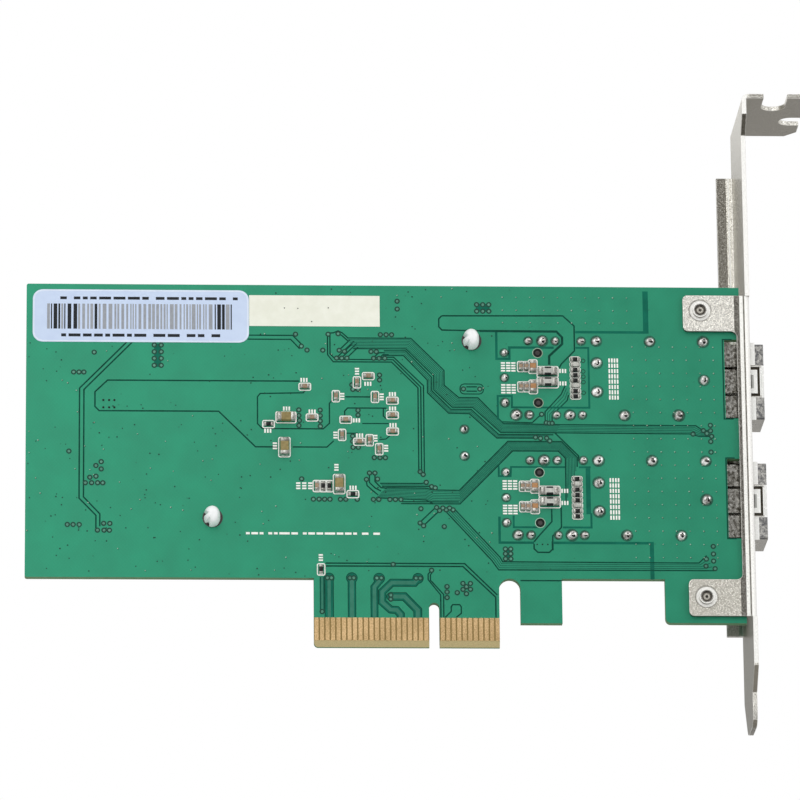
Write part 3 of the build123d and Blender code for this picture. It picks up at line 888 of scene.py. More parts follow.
def circle(x: float, z: float, radius: float, sides: int) -> list[Point]:
    """List the points of a circle on the board.

    Args:
        x: its middle's distance toward the bracket.
        z: its middle's height.
        radius: its radius.
        sides: how many points it has.

    Returns:
        The points, counted anticlockwise.
    """
    angles = [math.tau * i / sides for i in range(sides)]
    return [(x + radius * math.cos(a), z + radius * math.sin(a)) for a in angles]


def offset_path(points: Sequence[Point], away: float) -> list[Point]:
    """Shift a path sideways, with its corners mitred.

    Args:
        points: the path as (x, z).
        away: how far to shift it, to its left.

    Returns:
        The shifted path, with as many points.
    """
    ways = []
    for a, b in zip(points, points[1:]):
        length = math.hypot(b[0] - a[0], b[1] - a[1]) or 1.0
        ways.append((-(b[1] - a[1]) / length, (b[0] - a[0]) / length))
    shifted = []
    for i, (x, z) in enumerate(points):
        before, after = ways[max(i - 1, 0)], ways[min(i, len(ways) - 1)]
        across = (before[0] + after[0], before[1] + after[1])
        scale = 2 / max(across[0] ** 2 + across[1] ** 2, 1.0)
        shifted.append((x + across[0] * away * scale, z + across[1] * away * scale))
    return shifted


def rounded_box(box: Box, radius: float, grow: float) -> list[Point]:
    """List the points of a box with round corners.

    Args:
        box: left, bottom, right and top.
        radius: the corner radius.
        grow: how far the outline is pushed outward.

    Returns:
        The outline's points, counted anticlockwise.
    """
    left, bottom, right, top = box
    reach = radius + grow
    corners = ((right - radius, top - radius), (left + radius, top - radius),
               (left + radius, bottom + radius), (right - radius, bottom + radius))
    points = []
    for quarter, (x, z) in enumerate(corners):
        for angle in (math.radians(90 * quarter + turn) for turn in (0, 30, 60, 90)):
            points.append((x + reach * math.cos(angle), z + reach * math.sin(angle)))
    return points


def solids_of(node: bpy.types.Object) -> list[tuple[Vector, Vector]]:
    """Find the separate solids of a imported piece.

    Args:
        node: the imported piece.

    Returns:
        The lowest and highest corner of each solid, in metres.
    """
    mesh = bmesh.new()
    mesh.from_mesh(node.data)
    bmesh.ops.remove_doubles(mesh, verts=mesh.verts, dist=SAME_PLACE)
    left = set(mesh.verts)
    boxes = []
    while left:
        group, edge = set(), [left.pop()]
        while edge:
            vertex = edge.pop()
            group.add(vertex)
            for link in vertex.link_edges:
                other = link.other_vert(vertex)
                if other in left:
                    left.discard(other)
                    edge.append(other)
        boxes.append(tuple(Vector([end(v.co[i] for v in group) for i in range(3)]) for end in (min, max)))
    mesh.free()
    return sorted(boxes, key=lambda b: (round(b[0].x, 5), round(b[0].z, 5)))


GREEN = Laminate()
GAP_GREEN = Finish("etched gap", "0A4E3E", "063A2D", scale=900, bump=0.05, shine=0.06)
FINE_GAP = Finish("fine etched gap", "1A5F4D", "155244", roughness=0.38, scale=900, bump=0.05, shine=0.06)
DEEP_GAP = Finish("wide etched gap", "0F6E58", "0B5C4A", roughness=0.38, scale=400, bump=0.05, shine=0.06)
TRACK_GREEN = Finish("masked copper", "3C7F6B", "347560", roughness=0.34, scale=900, bump=0.05, shine=0.06)
PEG_FACE_AND_PIN_SHADOW = Finish("peg face and pin shadow", "4B4545", "3A3535", roughness=0.5, scale=1500, bump=0.2)
PORT_SHADE = Finish("port shade", "4A453B", "35312A", metallic=0.6, scale=2200, bump=0.2)
VIA_RING = Finish("via ring", "0E4A39", "0A3C2E", scale=1500)
VIA_EYE = Finish("via eye", "5E9A84", "3F7563", roughness=0.3, scale=3000, bump=0.2)
STITCH = Finish("tented via", "A4CBB6", "8B9A80", scale=700)
DARK_PIT_AND_SHADE = Finish("dark pit and painted shade", "101A16", "050807", roughness=0.5, scale=1500)
LEGEND = Finish("white legend", "FBFBF6", "EEF0E8", roughness=0.6, scale=2200)
BLANK_LEGEND = Finish("cream legend block", "F0F1E4", "E9EADB", roughness=0.62, scale=700, bump=0.12)
GOLD = Finish("gold plate", "D3B284", "A88D62", roughness=0.3, metallic=0.75, scale=3600, bump=0.2)
# Where the ports and screws lie on the card, and the depths that the patches of the sheets reach through.
PORT_HEIGHTS = (51.25, 28.3)
SCREW_X = 49.8
SCREW_HEIGHTS = (64.2, 9.4)
PLATE_SKIN = (-3.0, 1.0)
TAB_SKIN = (-5.5, -1.5)
FLANGE_DEPTH = (11.0, 18.0)
MOUTH_SKIN = (-3.0, 3.0)
NICKEL = PlatedSheet(
    "nickel sheet", "F4F2EA", "6C665D", scale=5200, pits=0.7, edge=0.2, under="8A857B", inner="A8A498",
    patches=(
        # Painted reflections: dark and white bands along the near flange's bend and the tab; the dark band
        # on the tab's top edge is painted shade.
        Patch((56.1, 57.15), PLATE_SKIN, (-20.0, 68.0), "3D3932", grain=0.3),
        Patch((57.12, 57.76), PLATE_SKIN, (-3.0, 68.0), "F4F3EE", 0.35, 0.2),
        Patch((57.78, 58.06), PLATE_SKIN, (-20.0, 68.0), "55514A"),
        Patch((58.08, 59.2), (-3.0, 0.5), (-3.0, 68.0), "F7F6F2", 0.3, 0.15),
        Patch((58.1, 59.2), TAB_SKIN, (68.0, 98.4), "F7F6F2", 0.2, 0.12),
        Patch((58.1, 59.2), TAB_SKIN, (101.7, 106.0), "F7F6F2", 0.2, 0.12),
        Patch((58.1, 59.2), TAB_SKIN, (98.4, 101.7), "3F3B35", grain=0.6),
        Patch((59.6, 71.0), (-5.5, -4.5), (104.0, 106.0), "5A554C", grain=0.9),
        # The far flange: painted shade, a painted highlight along its rim, and a painted grey reflection
        # below the board.
        Patch((50.0, 57.0), FLANGE_DEPTH, (14.0, 110.0), "514D45", grain=0.3),
        Patch((57.3, 57.6), FLANGE_DEPTH, (14.0, 110.0), "FAF9F5", 0.3, 0.2),
        Patch((50.0, 57.4), FLANGE_DEPTH, (-20.0, 13.0), "8E8A80", 0.2, 0.75),
        # The lower ear is painted darker: painted shade.
        Patch((44.0, 56.1), PLATE_SKIN, (4.0, 14.0), "A5A196", grain=0.8),
        # Round each screw: two dark rings of painted shade on either side of a painted highlight ring.
        *(ring for height in SCREW_HEIGHTS for ring in (
            RingPatch(SCREW_X, height, (1.92, 2.15), "4A463F", grain=0.7),
            RingPatch(SCREW_X, height, (1.2, 1.9), "FAF9F5", 0.3, 0.25),
            RingPatch(SCREW_X, height, (0.9, 1.2), "4A463F", grain=0.6),
        )),
    ),
)
CAGE_STEEL = PlatedSheet(
    "cage sheet", "E6E4DE", "BBB8B0", roughness=0.2, scale=1600, pits=0.3, edge=0.05, under="87837A",
    patches=(
        # Painted shade on the cage where it lies inside the bracket.
        Patch((40.0, 58.3), (-3.0, 12.0), (0.0, 80.0), "403D35", grain=0.55),
        # At each port's mouth: painted reflections, white over the latch and its lip, grey and darker
        # blotched bands round them.
        *(patch for middle in PORT_HEIGHTS for patch in (
            Patch((59.75, 61.6), MOUTH_SKIN, (middle + 3.1, middle + 7.5), "5C5D61", grain=0.85),
            Patch((59.75, 61.6), MOUTH_SKIN, (middle - 7.5, middle - 3.1), "5C5D61", grain=0.85),
            Patch((58.9, 61.05), MOUTH_SKIN, (middle - 2.6, middle + 2.6), "F8F8F5", 0.1, 0.1),
            Patch((59.2, 59.7), MOUTH_SKIN, (middle - 1.3, middle + 1.3), "A3A4A0", 0.3, 0.1),
            Patch((61.1, 61.7), MOUTH_SKIN, (middle - 3.1, middle + 3.1), "F2F2EF", 0.3, 0.2),
        )),
    ),
)
SPRING_STEEL = PlatedSheet(
    "spring sheet", "E6E4DE", "A8A59E", roughness=0.2, scale=1600, pits=0.2, edge=0.04, under="87837A",
    patches=(
        # Painted shade inside the bracket, and a painted white reflection on the fingers outside it.
        Patch((40.0, 58.3), (-3.0, 12.0), (0.0, 80.0), "5A554B", grain=0.85),
        Patch((58.9, 60.4), (-4.0, 4.0), (0.0, 80.0), "F8F8F5", 0.1, 0.1),
    ),
)
SCREW_STEEL = PlatedSheet(
    "screw steel", "9C978D", "57534D", roughness=0.24, scale=2600, pits=0.3, edge=0.05, under="8A857B",
    # Each screw's end is painted in rings: dark rings of painted shade round a painted highlight ring, and a
    # dark middle.
    patches=tuple(ring for height in SCREW_HEIGHTS for ring in (
        RingPatch(SCREW_X, height, (0.62, 1.0), "3F3B36", grain=0.4),
        RingPatch(SCREW_X, height, (0.28, 0.6), "B9B5AB", grain=0.4),
        RingPatch(SCREW_X, height, (0.0, 0.26), "26231F", grain=0.3),
    )),
)
SOLDER = Finish(
    "solder", "FCFCFA", "66625B", roughness=0.14, spread=0.12, metallic=0.85, scale=1500, bump=0.5,
    depth=0.05,
)
TIN = Finish(
    "tinned end", "BDBCB6", "7A7871", roughness=0.26, spread=0.15, metallic=0.9, scale=3200, bump=0.3,
)
# Painted shade: a dark ring round the foot of each solder joint.
JOINT_SHADE = Finish("painted joint shade", "1F6B53", "154F3D", scale=1500)
TAN_BODY = Finish("tan ceramic", "A8917A", "8A745F", roughness=0.5, scale=2600, bump=0.15)
OLIVE_BODY = Finish("olive ceramic", "9A8A5C", "84754A", roughness=0.5, scale=2200, bump=0.15)
ORANGE_BODY = Finish("orange ceramic", "B98A60", "A0754E", roughness=0.5, scale=2600, bump=0.15)
BLACK_BODY = Finish("resistor glass", "1E1F1F", "141515", roughness=0.3, scale=2600, bump=0.08)
FERRITE = Finish("grey ferrite", "C6C7C0", "A5A6A0", roughness=0.42, scale=2000, bump=0.2)
BLACK_PLASTIC = Finish("black moulding", "1C1D1F", "141516", roughness=0.5, scale=1500, bump=0.25, edge=0.06)
NYLON = Finish("white nylon", "FBFCFC", "EDF0F0", roughness=0.45, scale=700, bump=0.15, coat=0.1, shine=0.3)
PAPER = Finish("label paper", "CBDAF2", "C5D4EE", roughness=0.5, scale=500, bump=0.08)
PAPER_RIM = Finish("label rim", "DFE9F8", "D6E1F3", roughness=0.5, scale=500, bump=0.08)
INK = Finish("label ink", "24282D", "1A1D21", roughness=0.6, scale=1500, bump=0.05)
FAINT_INK = Finish("thin label ink", "A0A4AA", "94989F", roughness=0.6, scale=1500, bump=0.05)
BLACK_CHIP = Finish("chip resin", "232425", "1A1B1C", roughness=0.55, scale=1800, bump=0.3, edge=0.05)
LID = Finish(
    "chip lid", "B9BBBC", "A4A6A8", roughness=0.35, metallic=0.9, scale=900, stretch=(1, 1, 8), bump=0.15,
)
ANODISED = Finish(
    "anodised fins", "2A2B2D", "1E1F21", roughness=0.42, metallic=0.55, scale=500, stretch=(1, 1, 0.05),
    bump=0.25, edge=0.12,
)
GREY_PAD = Finish("thermal pad", "8A8F94", "7C8186", roughness=0.75, scale=900, bump=0.4)
CAN_STEEL = Finish("crystal can", "C9CACA", "B4B6B6", roughness=0.25, metallic=1.0, scale=700, edge=0.25)
CAN_ALUMINIUM = Finish(
    "capacitor can", "D2D4D5", "BEC1C3", roughness=0.28, metallic=1.0, scale=800, edge=0.3,
)
COIL_GREY = Finish("coil shield", "4B4C4E", "3E3F41", roughness=0.6, scale=1300, bump=0.4, edge=0.12)
SPRING_WIRE = Finish("spring wire", "C8C4BA", "A9A498", roughness=0.22, metallic=1.0)
LENS = Finish(
    "light lens", "E8F0E4", "DDE8DA", roughness=0.12, spread=0.05, scale=600, bump=0.03, coat=0.4, edge=0.25,
)
PACKED_FINISHES: dict[str, AnyFinish] = {
    "circuit_board": GREEN,
    "edge_contacts": GOLD,
    "bracket": NICKEL,
    "bracket_screws": SCREW_STEEL,
    "sfp_cage_upper": CAGE_STEEL,
    "sfp_cage_lower": CAGE_STEEL,
    "spring_collar_upper": SPRING_STEEL,
    "spring_collar_lower": SPRING_STEEL,
    "sfp_connector_upper": BLACK_PLASTIC,
    "sfp_connector_lower": BLACK_PLASTIC,
    "port_contacts_upper": GOLD,
    "port_contacts_lower": GOLD,
    "network_controller": LID,
    "thermal_pad": GREY_PAD,
    "heat_sink": ANODISED,
    "push_pins": NYLON,
    "pin_springs": SPRING_WIRE,
    "crystal": CAN_STEEL,
    "memory_chips": BLACK_CHIP,
    "regulators": BLACK_CHIP,
    "power_coils": COIL_GREY,
    "can_capacitors": CAN_ALUMINIUM,
    "light_housings": BLACK_PLASTIC,
    "light_lenses": LENS,
    "solder_joints": SOLDER,
    "label": PAPER,
}


@dataclass(frozen=True)
class Line:
    """A printed line: its path and width, and whether it is one of a bundle's inner lines."""

    path: Points
    width: float = 0.19
    fine: bool = False


@dataclass(frozen=True)
class Fan:
    """A bundle of printed lines, spread evenly between a first and a last path."""

    count: int
    first: Points
    last: Points
    width: float = 0.12
    inner_share: float = 0.85
    outer_share: float = 1.5

    def lines(self) -> list[Line]:
        """List the bundle's lines.

        Returns:
            The lines, first to last.
        """
        made = []
        for i in range(self.count):
            part = i / (self.count - 1)
            path = tuple(
                (x + part * (far_x - x), z + part * (far_z - z))
                for (x, z), (far_x, far_z) in zip(self.first, self.last)
            )
            inner = 0 < i < self.count - 1
            made.append(Line(path, self.width * (self.inner_share if inner else self.outer_share), inner))
        return made


@dataclass(frozen=True)
class Track:
    """A wide copper track, seen between two etched gaps."""

    gap: float
    width: float
    path: Points
    head: float = 0.0


# The drawing of the board's solder side. Every path and place is (x, z) in millimetres.
LINES = (
    Line(((-12.23, 31.4), (-12.08, 30.46), (-10.99, 29.44), (-10.07, 28.68))),
    Line(((-11.63, 32.57), (-11.63, 31.03), (-10.62, 30.02), (-9.52, 29.41))),
    Line(((-10.62, 32.57), (-10.62, 31.23), (-9.52, 30.06), (-8.43, 30))),
    Line(((-18.94, 59.67), (-18.12, 59.71), (-17.2, 60.1), (-16.47, 59.75), (-15.37, 58.72))),
    Line(((-17.02, 59.5), (-16.47, 59.18), (-15.37, 58.14))),
    Line(((-16.87, 56.57), (-15.01, 58.41))),
    Line(((-15.92, 56.3), (-14.64, 57.57))),
    Line(((-17.42, 55.04), (-14.28, 58.14))),
    Line(((-16.47, 55.04), (-13.73, 57.72))),
    Line(((-15.48, 55.04), (-13.55, 56.95))),
    Line(((-10.69, 55), (-9.71, 55.92), (-8.61, 55.96))),
    Line(((-9.52, 55), (-8.98, 55.54), (-7.88, 55.56))),
    Line(((-56.18, 57.68), (-64.77, 48.81), (-64.77, 27.82), (-61.68, 24.58), (-61.68, 22.13)), 0.21),
    Line(((-55.16, 57.68), (-63.97, 48.56), (-63.97, 28.08), (-60.97, 24.85), (-60.97, 22.51)), 0.21),
    Line(((-24.42, 50.38), (-59.63, 50.38), (-61.94, 48.14), (-61.94, 45.33), (-61.17, 44.52),
        (-39.25, 44.52), (-32.5, 37.76), (-28.54, 37.76)), 0.21),
    Line(((-25.7, 37.76), (-19.41, 37.76), (-18.14, 38.97))),
    Line(((-23.24, 48.75), (-23.69, 48.14), (-31.61, 47.97), (-32.12, 47.34), (-32.12, 42.18),
        (-31.22, 41.25), (-20.05, 41.25), (-18.9, 42.32), (-18.9, 46.13), (-18.3, 46.84))),
    Line(((-15.96, 47.41), (-11.21, 47.41))),
    Line(((-8.39, 45.27), (-15.56, 45.27), (-16.09, 44.67), (-16.09, 43.49))),
    Line(((-8.98, 45.11), (-8.98, 43.77), (-8.52, 43.3))),
    Line(((-12.87, 42.32), (-8.01, 42.32)), 0.17),
    Line(((-15.83, 40.44), (-13.64, 40.44)), 0.17),
    Line(((-9.8, 39.23), (-8.52, 39.37), (-7.62, 40.17)), 0.17),
    Line(((-33.66, 59.18), (-25.58, 59.18), (-23.91, 57.41))),
    Line(((-33.91, 58.41), (-25.96, 58.41), (-24.3, 56.61))),
    Line(((-19.16, 59.18), (-19.16, 55.48), (-18.14, 54.14), (-7.37, 54.14), (-2.56, 49.21),
        (-2.56, 33.24))),
    Line(((-18.72, 59.18), (-18.72, 55.67), (-17.7, 54.6), (-7.11, 54.6), (-2.05, 49.35), (-2.05, 32.76))),
    Line(((-10.8, 55.06), (-6.97, 55.06), (-1.54, 49.62), (-1.54, 32.66))),
    Line(((0.59, 26.48), (-2.61, 23.37))),
    Line(((1.22, 25.8), (-1.85, 22.84))),
    Line(((-19.8, 15.71), (5.65, 15.71), (11.54, 9.81)), 0.21),
    Line(((-19.8, 15.17), (5.32, 15.17), (11.24, 9.39), (11.24, 5.54)), 0.21),
    Line(((-0.64, 14.18), (-1.06, 13.7), (-1.06, 12.64), (1.19, 9.77), (1.19, 5.54))),
    Line(((-0.27, 14.08), (-0.64, 13.58), (-0.64, 12.55), (1.72, 9.87), (1.72, 5.54))),
    Line(((1.99, 5.56), (3.09, 6.7), (3.09, 7.57), (3.36, 7.95), (4.64, 7.95), (4.92, 7.57), (4.92, 6.32),
        (4, 5.56))),
    Line(((15.8, 12.55), (23.38, 12.55))),
    Line(((1.97, 63.14), (24.37, 63.26), (26.45, 61.3), (26.45, 56.53), (24, 53.98), (23.56, 53.16)), 0.21),
    Line(((1.97, 63.14), (1.41, 62.55), (1.41, 61.02), (1.97, 60.38), (8.94, 60.29)), 0.21),
    Line(((8.94, 60.25), (23.14, 60.21), (24.19, 59.1), (24.19, 57.82), (21.74, 55.46),
        (21.74, 53.79)), 0.34),
    Line(((12.82, 42.76), (18.41, 42.62), (20.16, 44.29)), 0.17),
    Line(((21.74, 26.15), (21.74, 23.75), (19.47, 21.19), (18.41, 19.9)), 0.21),
    Line(((22.61, 40.65), (26.86, 36.3), (26.86, 35.34)), 0.21),
    Line(((18.41, 19.54), (18.41, 18.58), (19.09, 17.91), (21.19, 17.91), (21.77, 18.49),
        (21.77, 20.02)), 0.21),
    Line(((6.38, 49.46), (8.3, 49.46))),
    Line(((6.38, 48.62), (8.3, 48.62))),
    Line(((8.48, 65.34), (10.71, 65.34))),
    Line(((55.65, 58.85), (53.91, 58.85), (53.91, 43.54), (55.65, 43.54))),
    Line(((55.65, 36.05), (54.02, 36.05), (54.02, 20.67), (55.65, 20.67))),
    Line(((23.49, 26.53), (23.49, 22.66), (21.85, 21.02), (21.85, 18.3)), 0.21),
)
BANDS = (
    Line(((-50.44, 57.47), (-50.44, 52.97)), 1.31),
    Line(((8.3, 64.69), (10.86, 64.69)), 1.4),
    Line(((13.62, 18.77), (13.62, 16.38)), 1.12),
    Line(((39.74, 68.1), (39.74, 59.9)), 1.01),
    Line(((26.64, 60.13), (39.65, 60.13)), 0.49),
    Line(((12.01, 60.17), (12.01, 54.89), (14.39, 54.89), (14.39, 57.09), (22.61, 57.09)), 0.45),
    Line(((26.64, 57.09), (29.01, 57.09), (29.01, 45.56), (14.73, 45.56), (14.73, 47.74), (12.12, 47.74),
        (12.12, 43.2)), 0.37),
    Line(((24.37, 34.14), (14.39, 34.14), (14.3, 32.38), (12.12, 32.38), (12.12, 34.39)), 0.34),
    Line(((14.73, 24.87), (14.73, 22.66), (19.29, 22.66)), 0.37),
    Line(((12.12, 24.67), (12.12, 19.73), (18.41, 19.73)), 0.45),
    Line(((21.74, 19.73), (40.05, 19.73)), 0.49),
    Line(((40.02, 19.96), (40.02, 12.84)), 0.75),
    Line(((28.54, 33.93), (28.54, 25.19)), 0.86),
    Line(((29.01, 25.38), (29.01, 22.85)), 0.37),
    Line(((26.86, 34.14), (29.05, 34.14)), 0.37),
    Line(((29.2, 22.66), (23.75, 22.66)), 0.37),
)
FANS = (
    Fan(8, ((-15.56, 58.75), (-3.77, 58.75), (2.27, 52.59), (2.27, 49.75), (4.95, 47.38), (8.45, 47.38),
        (13.14, 42.43), (23.56, 42.28)),
        ((-14.46, 56.7), (-4.68, 56.7), (0.35, 51.53), (0.35, 48.85), (3.73, 45.5), (7.48, 45.5),
        (12.6, 40.71), (22.83, 40.71))),
    Fan(4, ((-8.79, 56.32), (-4.77, 56.32), (-0.02, 51.25), (-0.02, 48.66), (3.46, 45.11), (7.2, 45.11),
        (12.23, 40.33), (22.29, 40.33)),
        ((-8.98, 55.4), (-5.17, 55.4), (-0.82, 50.71), (-0.82, 48.28), (3.03, 44.39), (6.87, 44.29),
        (11.86, 39.66), (18.99, 39.66))),
    Fan(6, ((23.56, 42.28), (48.61, 42.2), (49.89, 41.28), (51.17, 41.28)),
        ((22.83, 40.71), (47.33, 40.63), (49.16, 40.17), (51.17, 40.17))),
    Fan(9, ((-8.61, 30.06), (-1.3, 30), (-0.02, 29.67), (4.84, 29.62), (13.88, 39.04), (23.75, 39.04),
        (26.58, 36.07), (26.58, 34.2)),
        ((-10.44, 28.14), (-1.3, 27.76), (-0.02, 27.05), (4.95, 27.05), (14.73, 37.2), (23.14, 37.2),
        (24.42, 35.86), (24.42, 27.49))),
    Fan(2, ((-5.69, 27.41), (4.73, 27.41)),
        ((-5.87, 27.05), (4.92, 27.05))),
    Fan(3, ((-9.71, 30.9), (-2.03, 30.9), (-1.22, 31.09)),
        ((-9.34, 30.33), (-0.2, 30.33), (0.42, 30.13))),
    Fan(5, ((3.82, 26.15), (12.14, 16.95), (12.6, 16.09), (48.61, 16), (50.07, 17.43)),
        ((1.81, 26.15), (10.59, 16.38), (11.86, 14.56), (49.16, 14.56), (51.35, 14.56))),
    Fan(4, ((20.82, 42.62), (20.82, 44.73), (23.84, 48.08), (24.66, 49.9)),
        ((22.1, 42.62), (22.1, 44.06), (24.94, 46.93), (25.21, 47.99))),
)
TRACKS = (
    Track(0.86, 0.36, ((-20.44, 13.12), (-20.44, 6.61))),
    Track(1.68, 0.58, ((-19.16, 12.93), (-19.16, 5.54)), 0.99),
    Track(1.53, 0.73, ((-15.01, 12.93), (-15.01, 5.54)), 1.07),
    Track(1.42, 0.65, ((-10.02, 12.85), (-10.02, 12.36), (-10.91, 11.21), (-10.91, 5.54)), 1.07),
    Track(1.5, 0.67, ((-2.91, 12.89), (-3.58, 12.05), (-7.7, 12.05), (-9.49, 10.33), (-9.49, 8.39),
        (-7.99, 6.99), (-6.86, 6.9), (-6.14, 6.07), (-6.14, 5.54)), 1.03),
    Track(1.61, 0.73, ((-7.88, 9.44), (-5.43, 9.44), (-3.02, 6.9), (-3.02, 5.54)), 0.86),
)
VIAS = (
    (-62.12, 55.73), (-65.87, 51.9), (-64.88, 51.9), (-64, 51.9), (-51.08, 57.18), (-51.08, 55.88),
    (-51.08, 54.6), (-51.08, 53.26), (-49.8, 57.18), (-49.8, 55.88), (-49.8, 54.6), (-49.8, 53.26),
    (-66.67, 36.76), (-60.75, 34.77), (-61.72, 34.04), (-60.75, 33.39), (-62.82, 31.8), (-61.7, 31.99),
    (-63.64, 30.75), (-62.5, 30.75), (-61.39, 30.75), (-60.44, 30.75), (-66.89, 22.82), (-65.83, 22.82),
    (-64.72, 22.82), (-60.26, 23.05), (-59.14, 23.05), (-61.39, 21.76), (-60.18, 21.76), (-59.21, 21.76),
    (-25.06, 59.41), (-19.05, 59.44), (-17.2, 59.54), (-23.99, 57.11), (-22.96, 56.36), (-20.05, 56.36),
    (-17.02, 56.36), (-16.05, 56.13), (-17.51, 54.85), (-16.58, 54.85), (-15.61, 54.85), (-11.17, 56.13),
    (-10.18, 56.13), (-10.69, 54.85), (-9.67, 54.85), (-8.63, 54.85), (-9.41, 59.41), (-8.34, 59.41),
    (-7.33, 59.41), (-6.25, 65.9), (-6.25, 64.39), (-14.73, 49.71), (-14.55, 48.85), (-13.62, 48.85),
    (-9.62, 51.63), (-9.62, 50.67), (-24.52, 44.85), (-24.52, 43.77), (-24.42, 42.82), (-24.52, 41.86),
    (-20.6, 44.83), (-20.6, 43.77), (-20.6, 42.76), (-20.6, 41.76), (-13.64, 44.83), (-13.64, 43.91),
    (-14.64, 39.89), (-14.64, 38.89), (-14.59, 37.74), (-13.64, 37.74), (-10.73, 35.77), (-9.67, 35.77),
    (-8.68, 35.77), (-21.94, 27.82), (-20.88, 27.82), (-19.89, 27.82), (-18.9, 27.82), (-16.98, 27.82),
    (-16, 27.82), (-13.91, 27.82), (-12.19, 31.63), (-11.63, 32.85), (-10.62, 32.85), (-10.16, 31.7),
    (-10.95, 27.82), (-9.95, 27.82), (-7.92, 27.82), (-6.91, 27.82), (-5.9, 27.82), (-24.06, 31.67),
    (-1.22, 31.13), (-0.24, 30.31), (0.42, 30.08), (-2.32, 33.14), (-1.77, 32.61), (-2.25, 26.09),
    (-2.43, 23.37), (-1.79, 22.85), (1.99, 22.7), (0.64, 26.34), (1.17, 25.77), (1.77, 26.25),
    (2.39, 25.9), (3, 26.25), (3.64, 25.9), (-7.44, 15.52), (-0.42, 14.43), (2.36, 11.36), (2.36, 10.34),
    (2.36, 9.29), (5.28, 11.97), (6.65, 11.97), (5.9, 11.34), (5.28, 10.82), (6.65, 10.86), (4.22, 10.21),
    (5.89, 10.02), (8.45, 65.34), (9.58, 65.34), (10.71, 65.34), (8.45, 64.06), (9.58, 64.06),
    (10.71, 64.06), (5.83, 49.04), (8.85, 49.04), (51.3, 42.3), (49.98, 41.28), (51.3, 41.23),
    (50.62, 40.71), (48.06, 40.59), (51.5, 40.17), (51.3, 39.18), (51.3, 37.16), (18.99, 39.83),
    (19.91, 39.64), (21.04, 39.69), (21.61, 39.14), (21.01, 42.62), (21.55, 42.55), (22.1, 42.55),
    (20.18, 44.25), (51.3, 17.72), (49.98, 16.76), (51.3, 16.38), (49.89, 15.42), (51.54, 14.94),
    (51.3, 19.16), (13.14, 18.52), (14.11, 18.52), (13.14, 17.61), (14.11, 17.61), (13.14, 16.65),
    (14.11, 16.65), (-19.47, 12.93), (-18.74, 12.93), (-15.37, 12.93), (-14.64, 12.93), (-10.44, 12.93),
    (-9.62, 12.93), (-3.27, 12.93), (-2.5, 12.93), (-7.92, 9.71), (-7.92, 8.95), (-20.46, 6.57),
)
# Each pit is (x, z, radius), each mark (x, z, number of dashes, the way they run).
PITS = (
    (-60.4, 46.55, 0.2), (-60.4, 45.15, 0.2), (-59.34, 46.55, 0.2), (-59.34, 45.15, 0.2),
    (-58.37, 46.55, 0.2), (-58.37, 45.15, 0.2), (18.98, 19.41, 0.13), (19.95, 19.41, 0.13),
    (20.93, 19.41, 0.13), (-27.09, 64.46, 0.12), (-24.61, 64.37, 0.12), (-18.99, 64.54, 0.12),
    (-22.07, 61.86, 0.12),
)
MARKS = (
    *((x, z, 3, Way.ALONG) for x, z in (
        (-23.55, 50.59), (-11.79, 49.92), (-7.28, 47.95), (-7.28, 45.19), (-26.78, 45.08), (-22.08, 44.54),
        (-13.93, 42.89), (-30.24, 40.82), (-7.22, 42.01), (-13.38, 40), (-14.66, 30.02),
    )),
    *((x, z, 3, Way.UP) for x, z in (
        (-13.77, 52.32), (-16.53, 47.49), (-9.27, 47.43), (-17.81, 40.06), (-10.49, 39.48), (-8.54, 37.57),
        (-28.94, 37.95), (-17.68, 33.89), (-24.7, 30.36), (-23.6, 30.36), (-22.5, 30.36), (-20.64, 16.74),
    )),
    *((x, z, 4, Way.UP) for x in (13.18, 14.15, 15.1) for z in (53.33, 49.1, 30.69, 26)),
    *((33.58, z, 4, Way.ALONG) for z in (54.67, 53.66, 52.62, 51.61, 50.59, 49.56, 48.54, 47.53)),
    *((33.38, z, 4, Way.ALONG) for z in (31.69, 30.67, 29.64, 28.62, 27.61, 26.57, 25.56, 24.54)),
    *((24.2, z, 3, Way.ALONG) for z in (52.59, 50.19, 29.6, 27.3)),
)


@dataclass
class PieceBuilder:
    """What every builder of visible pieces works with: the materials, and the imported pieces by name."""

    shop: Paintshop
    nodes: Nodes


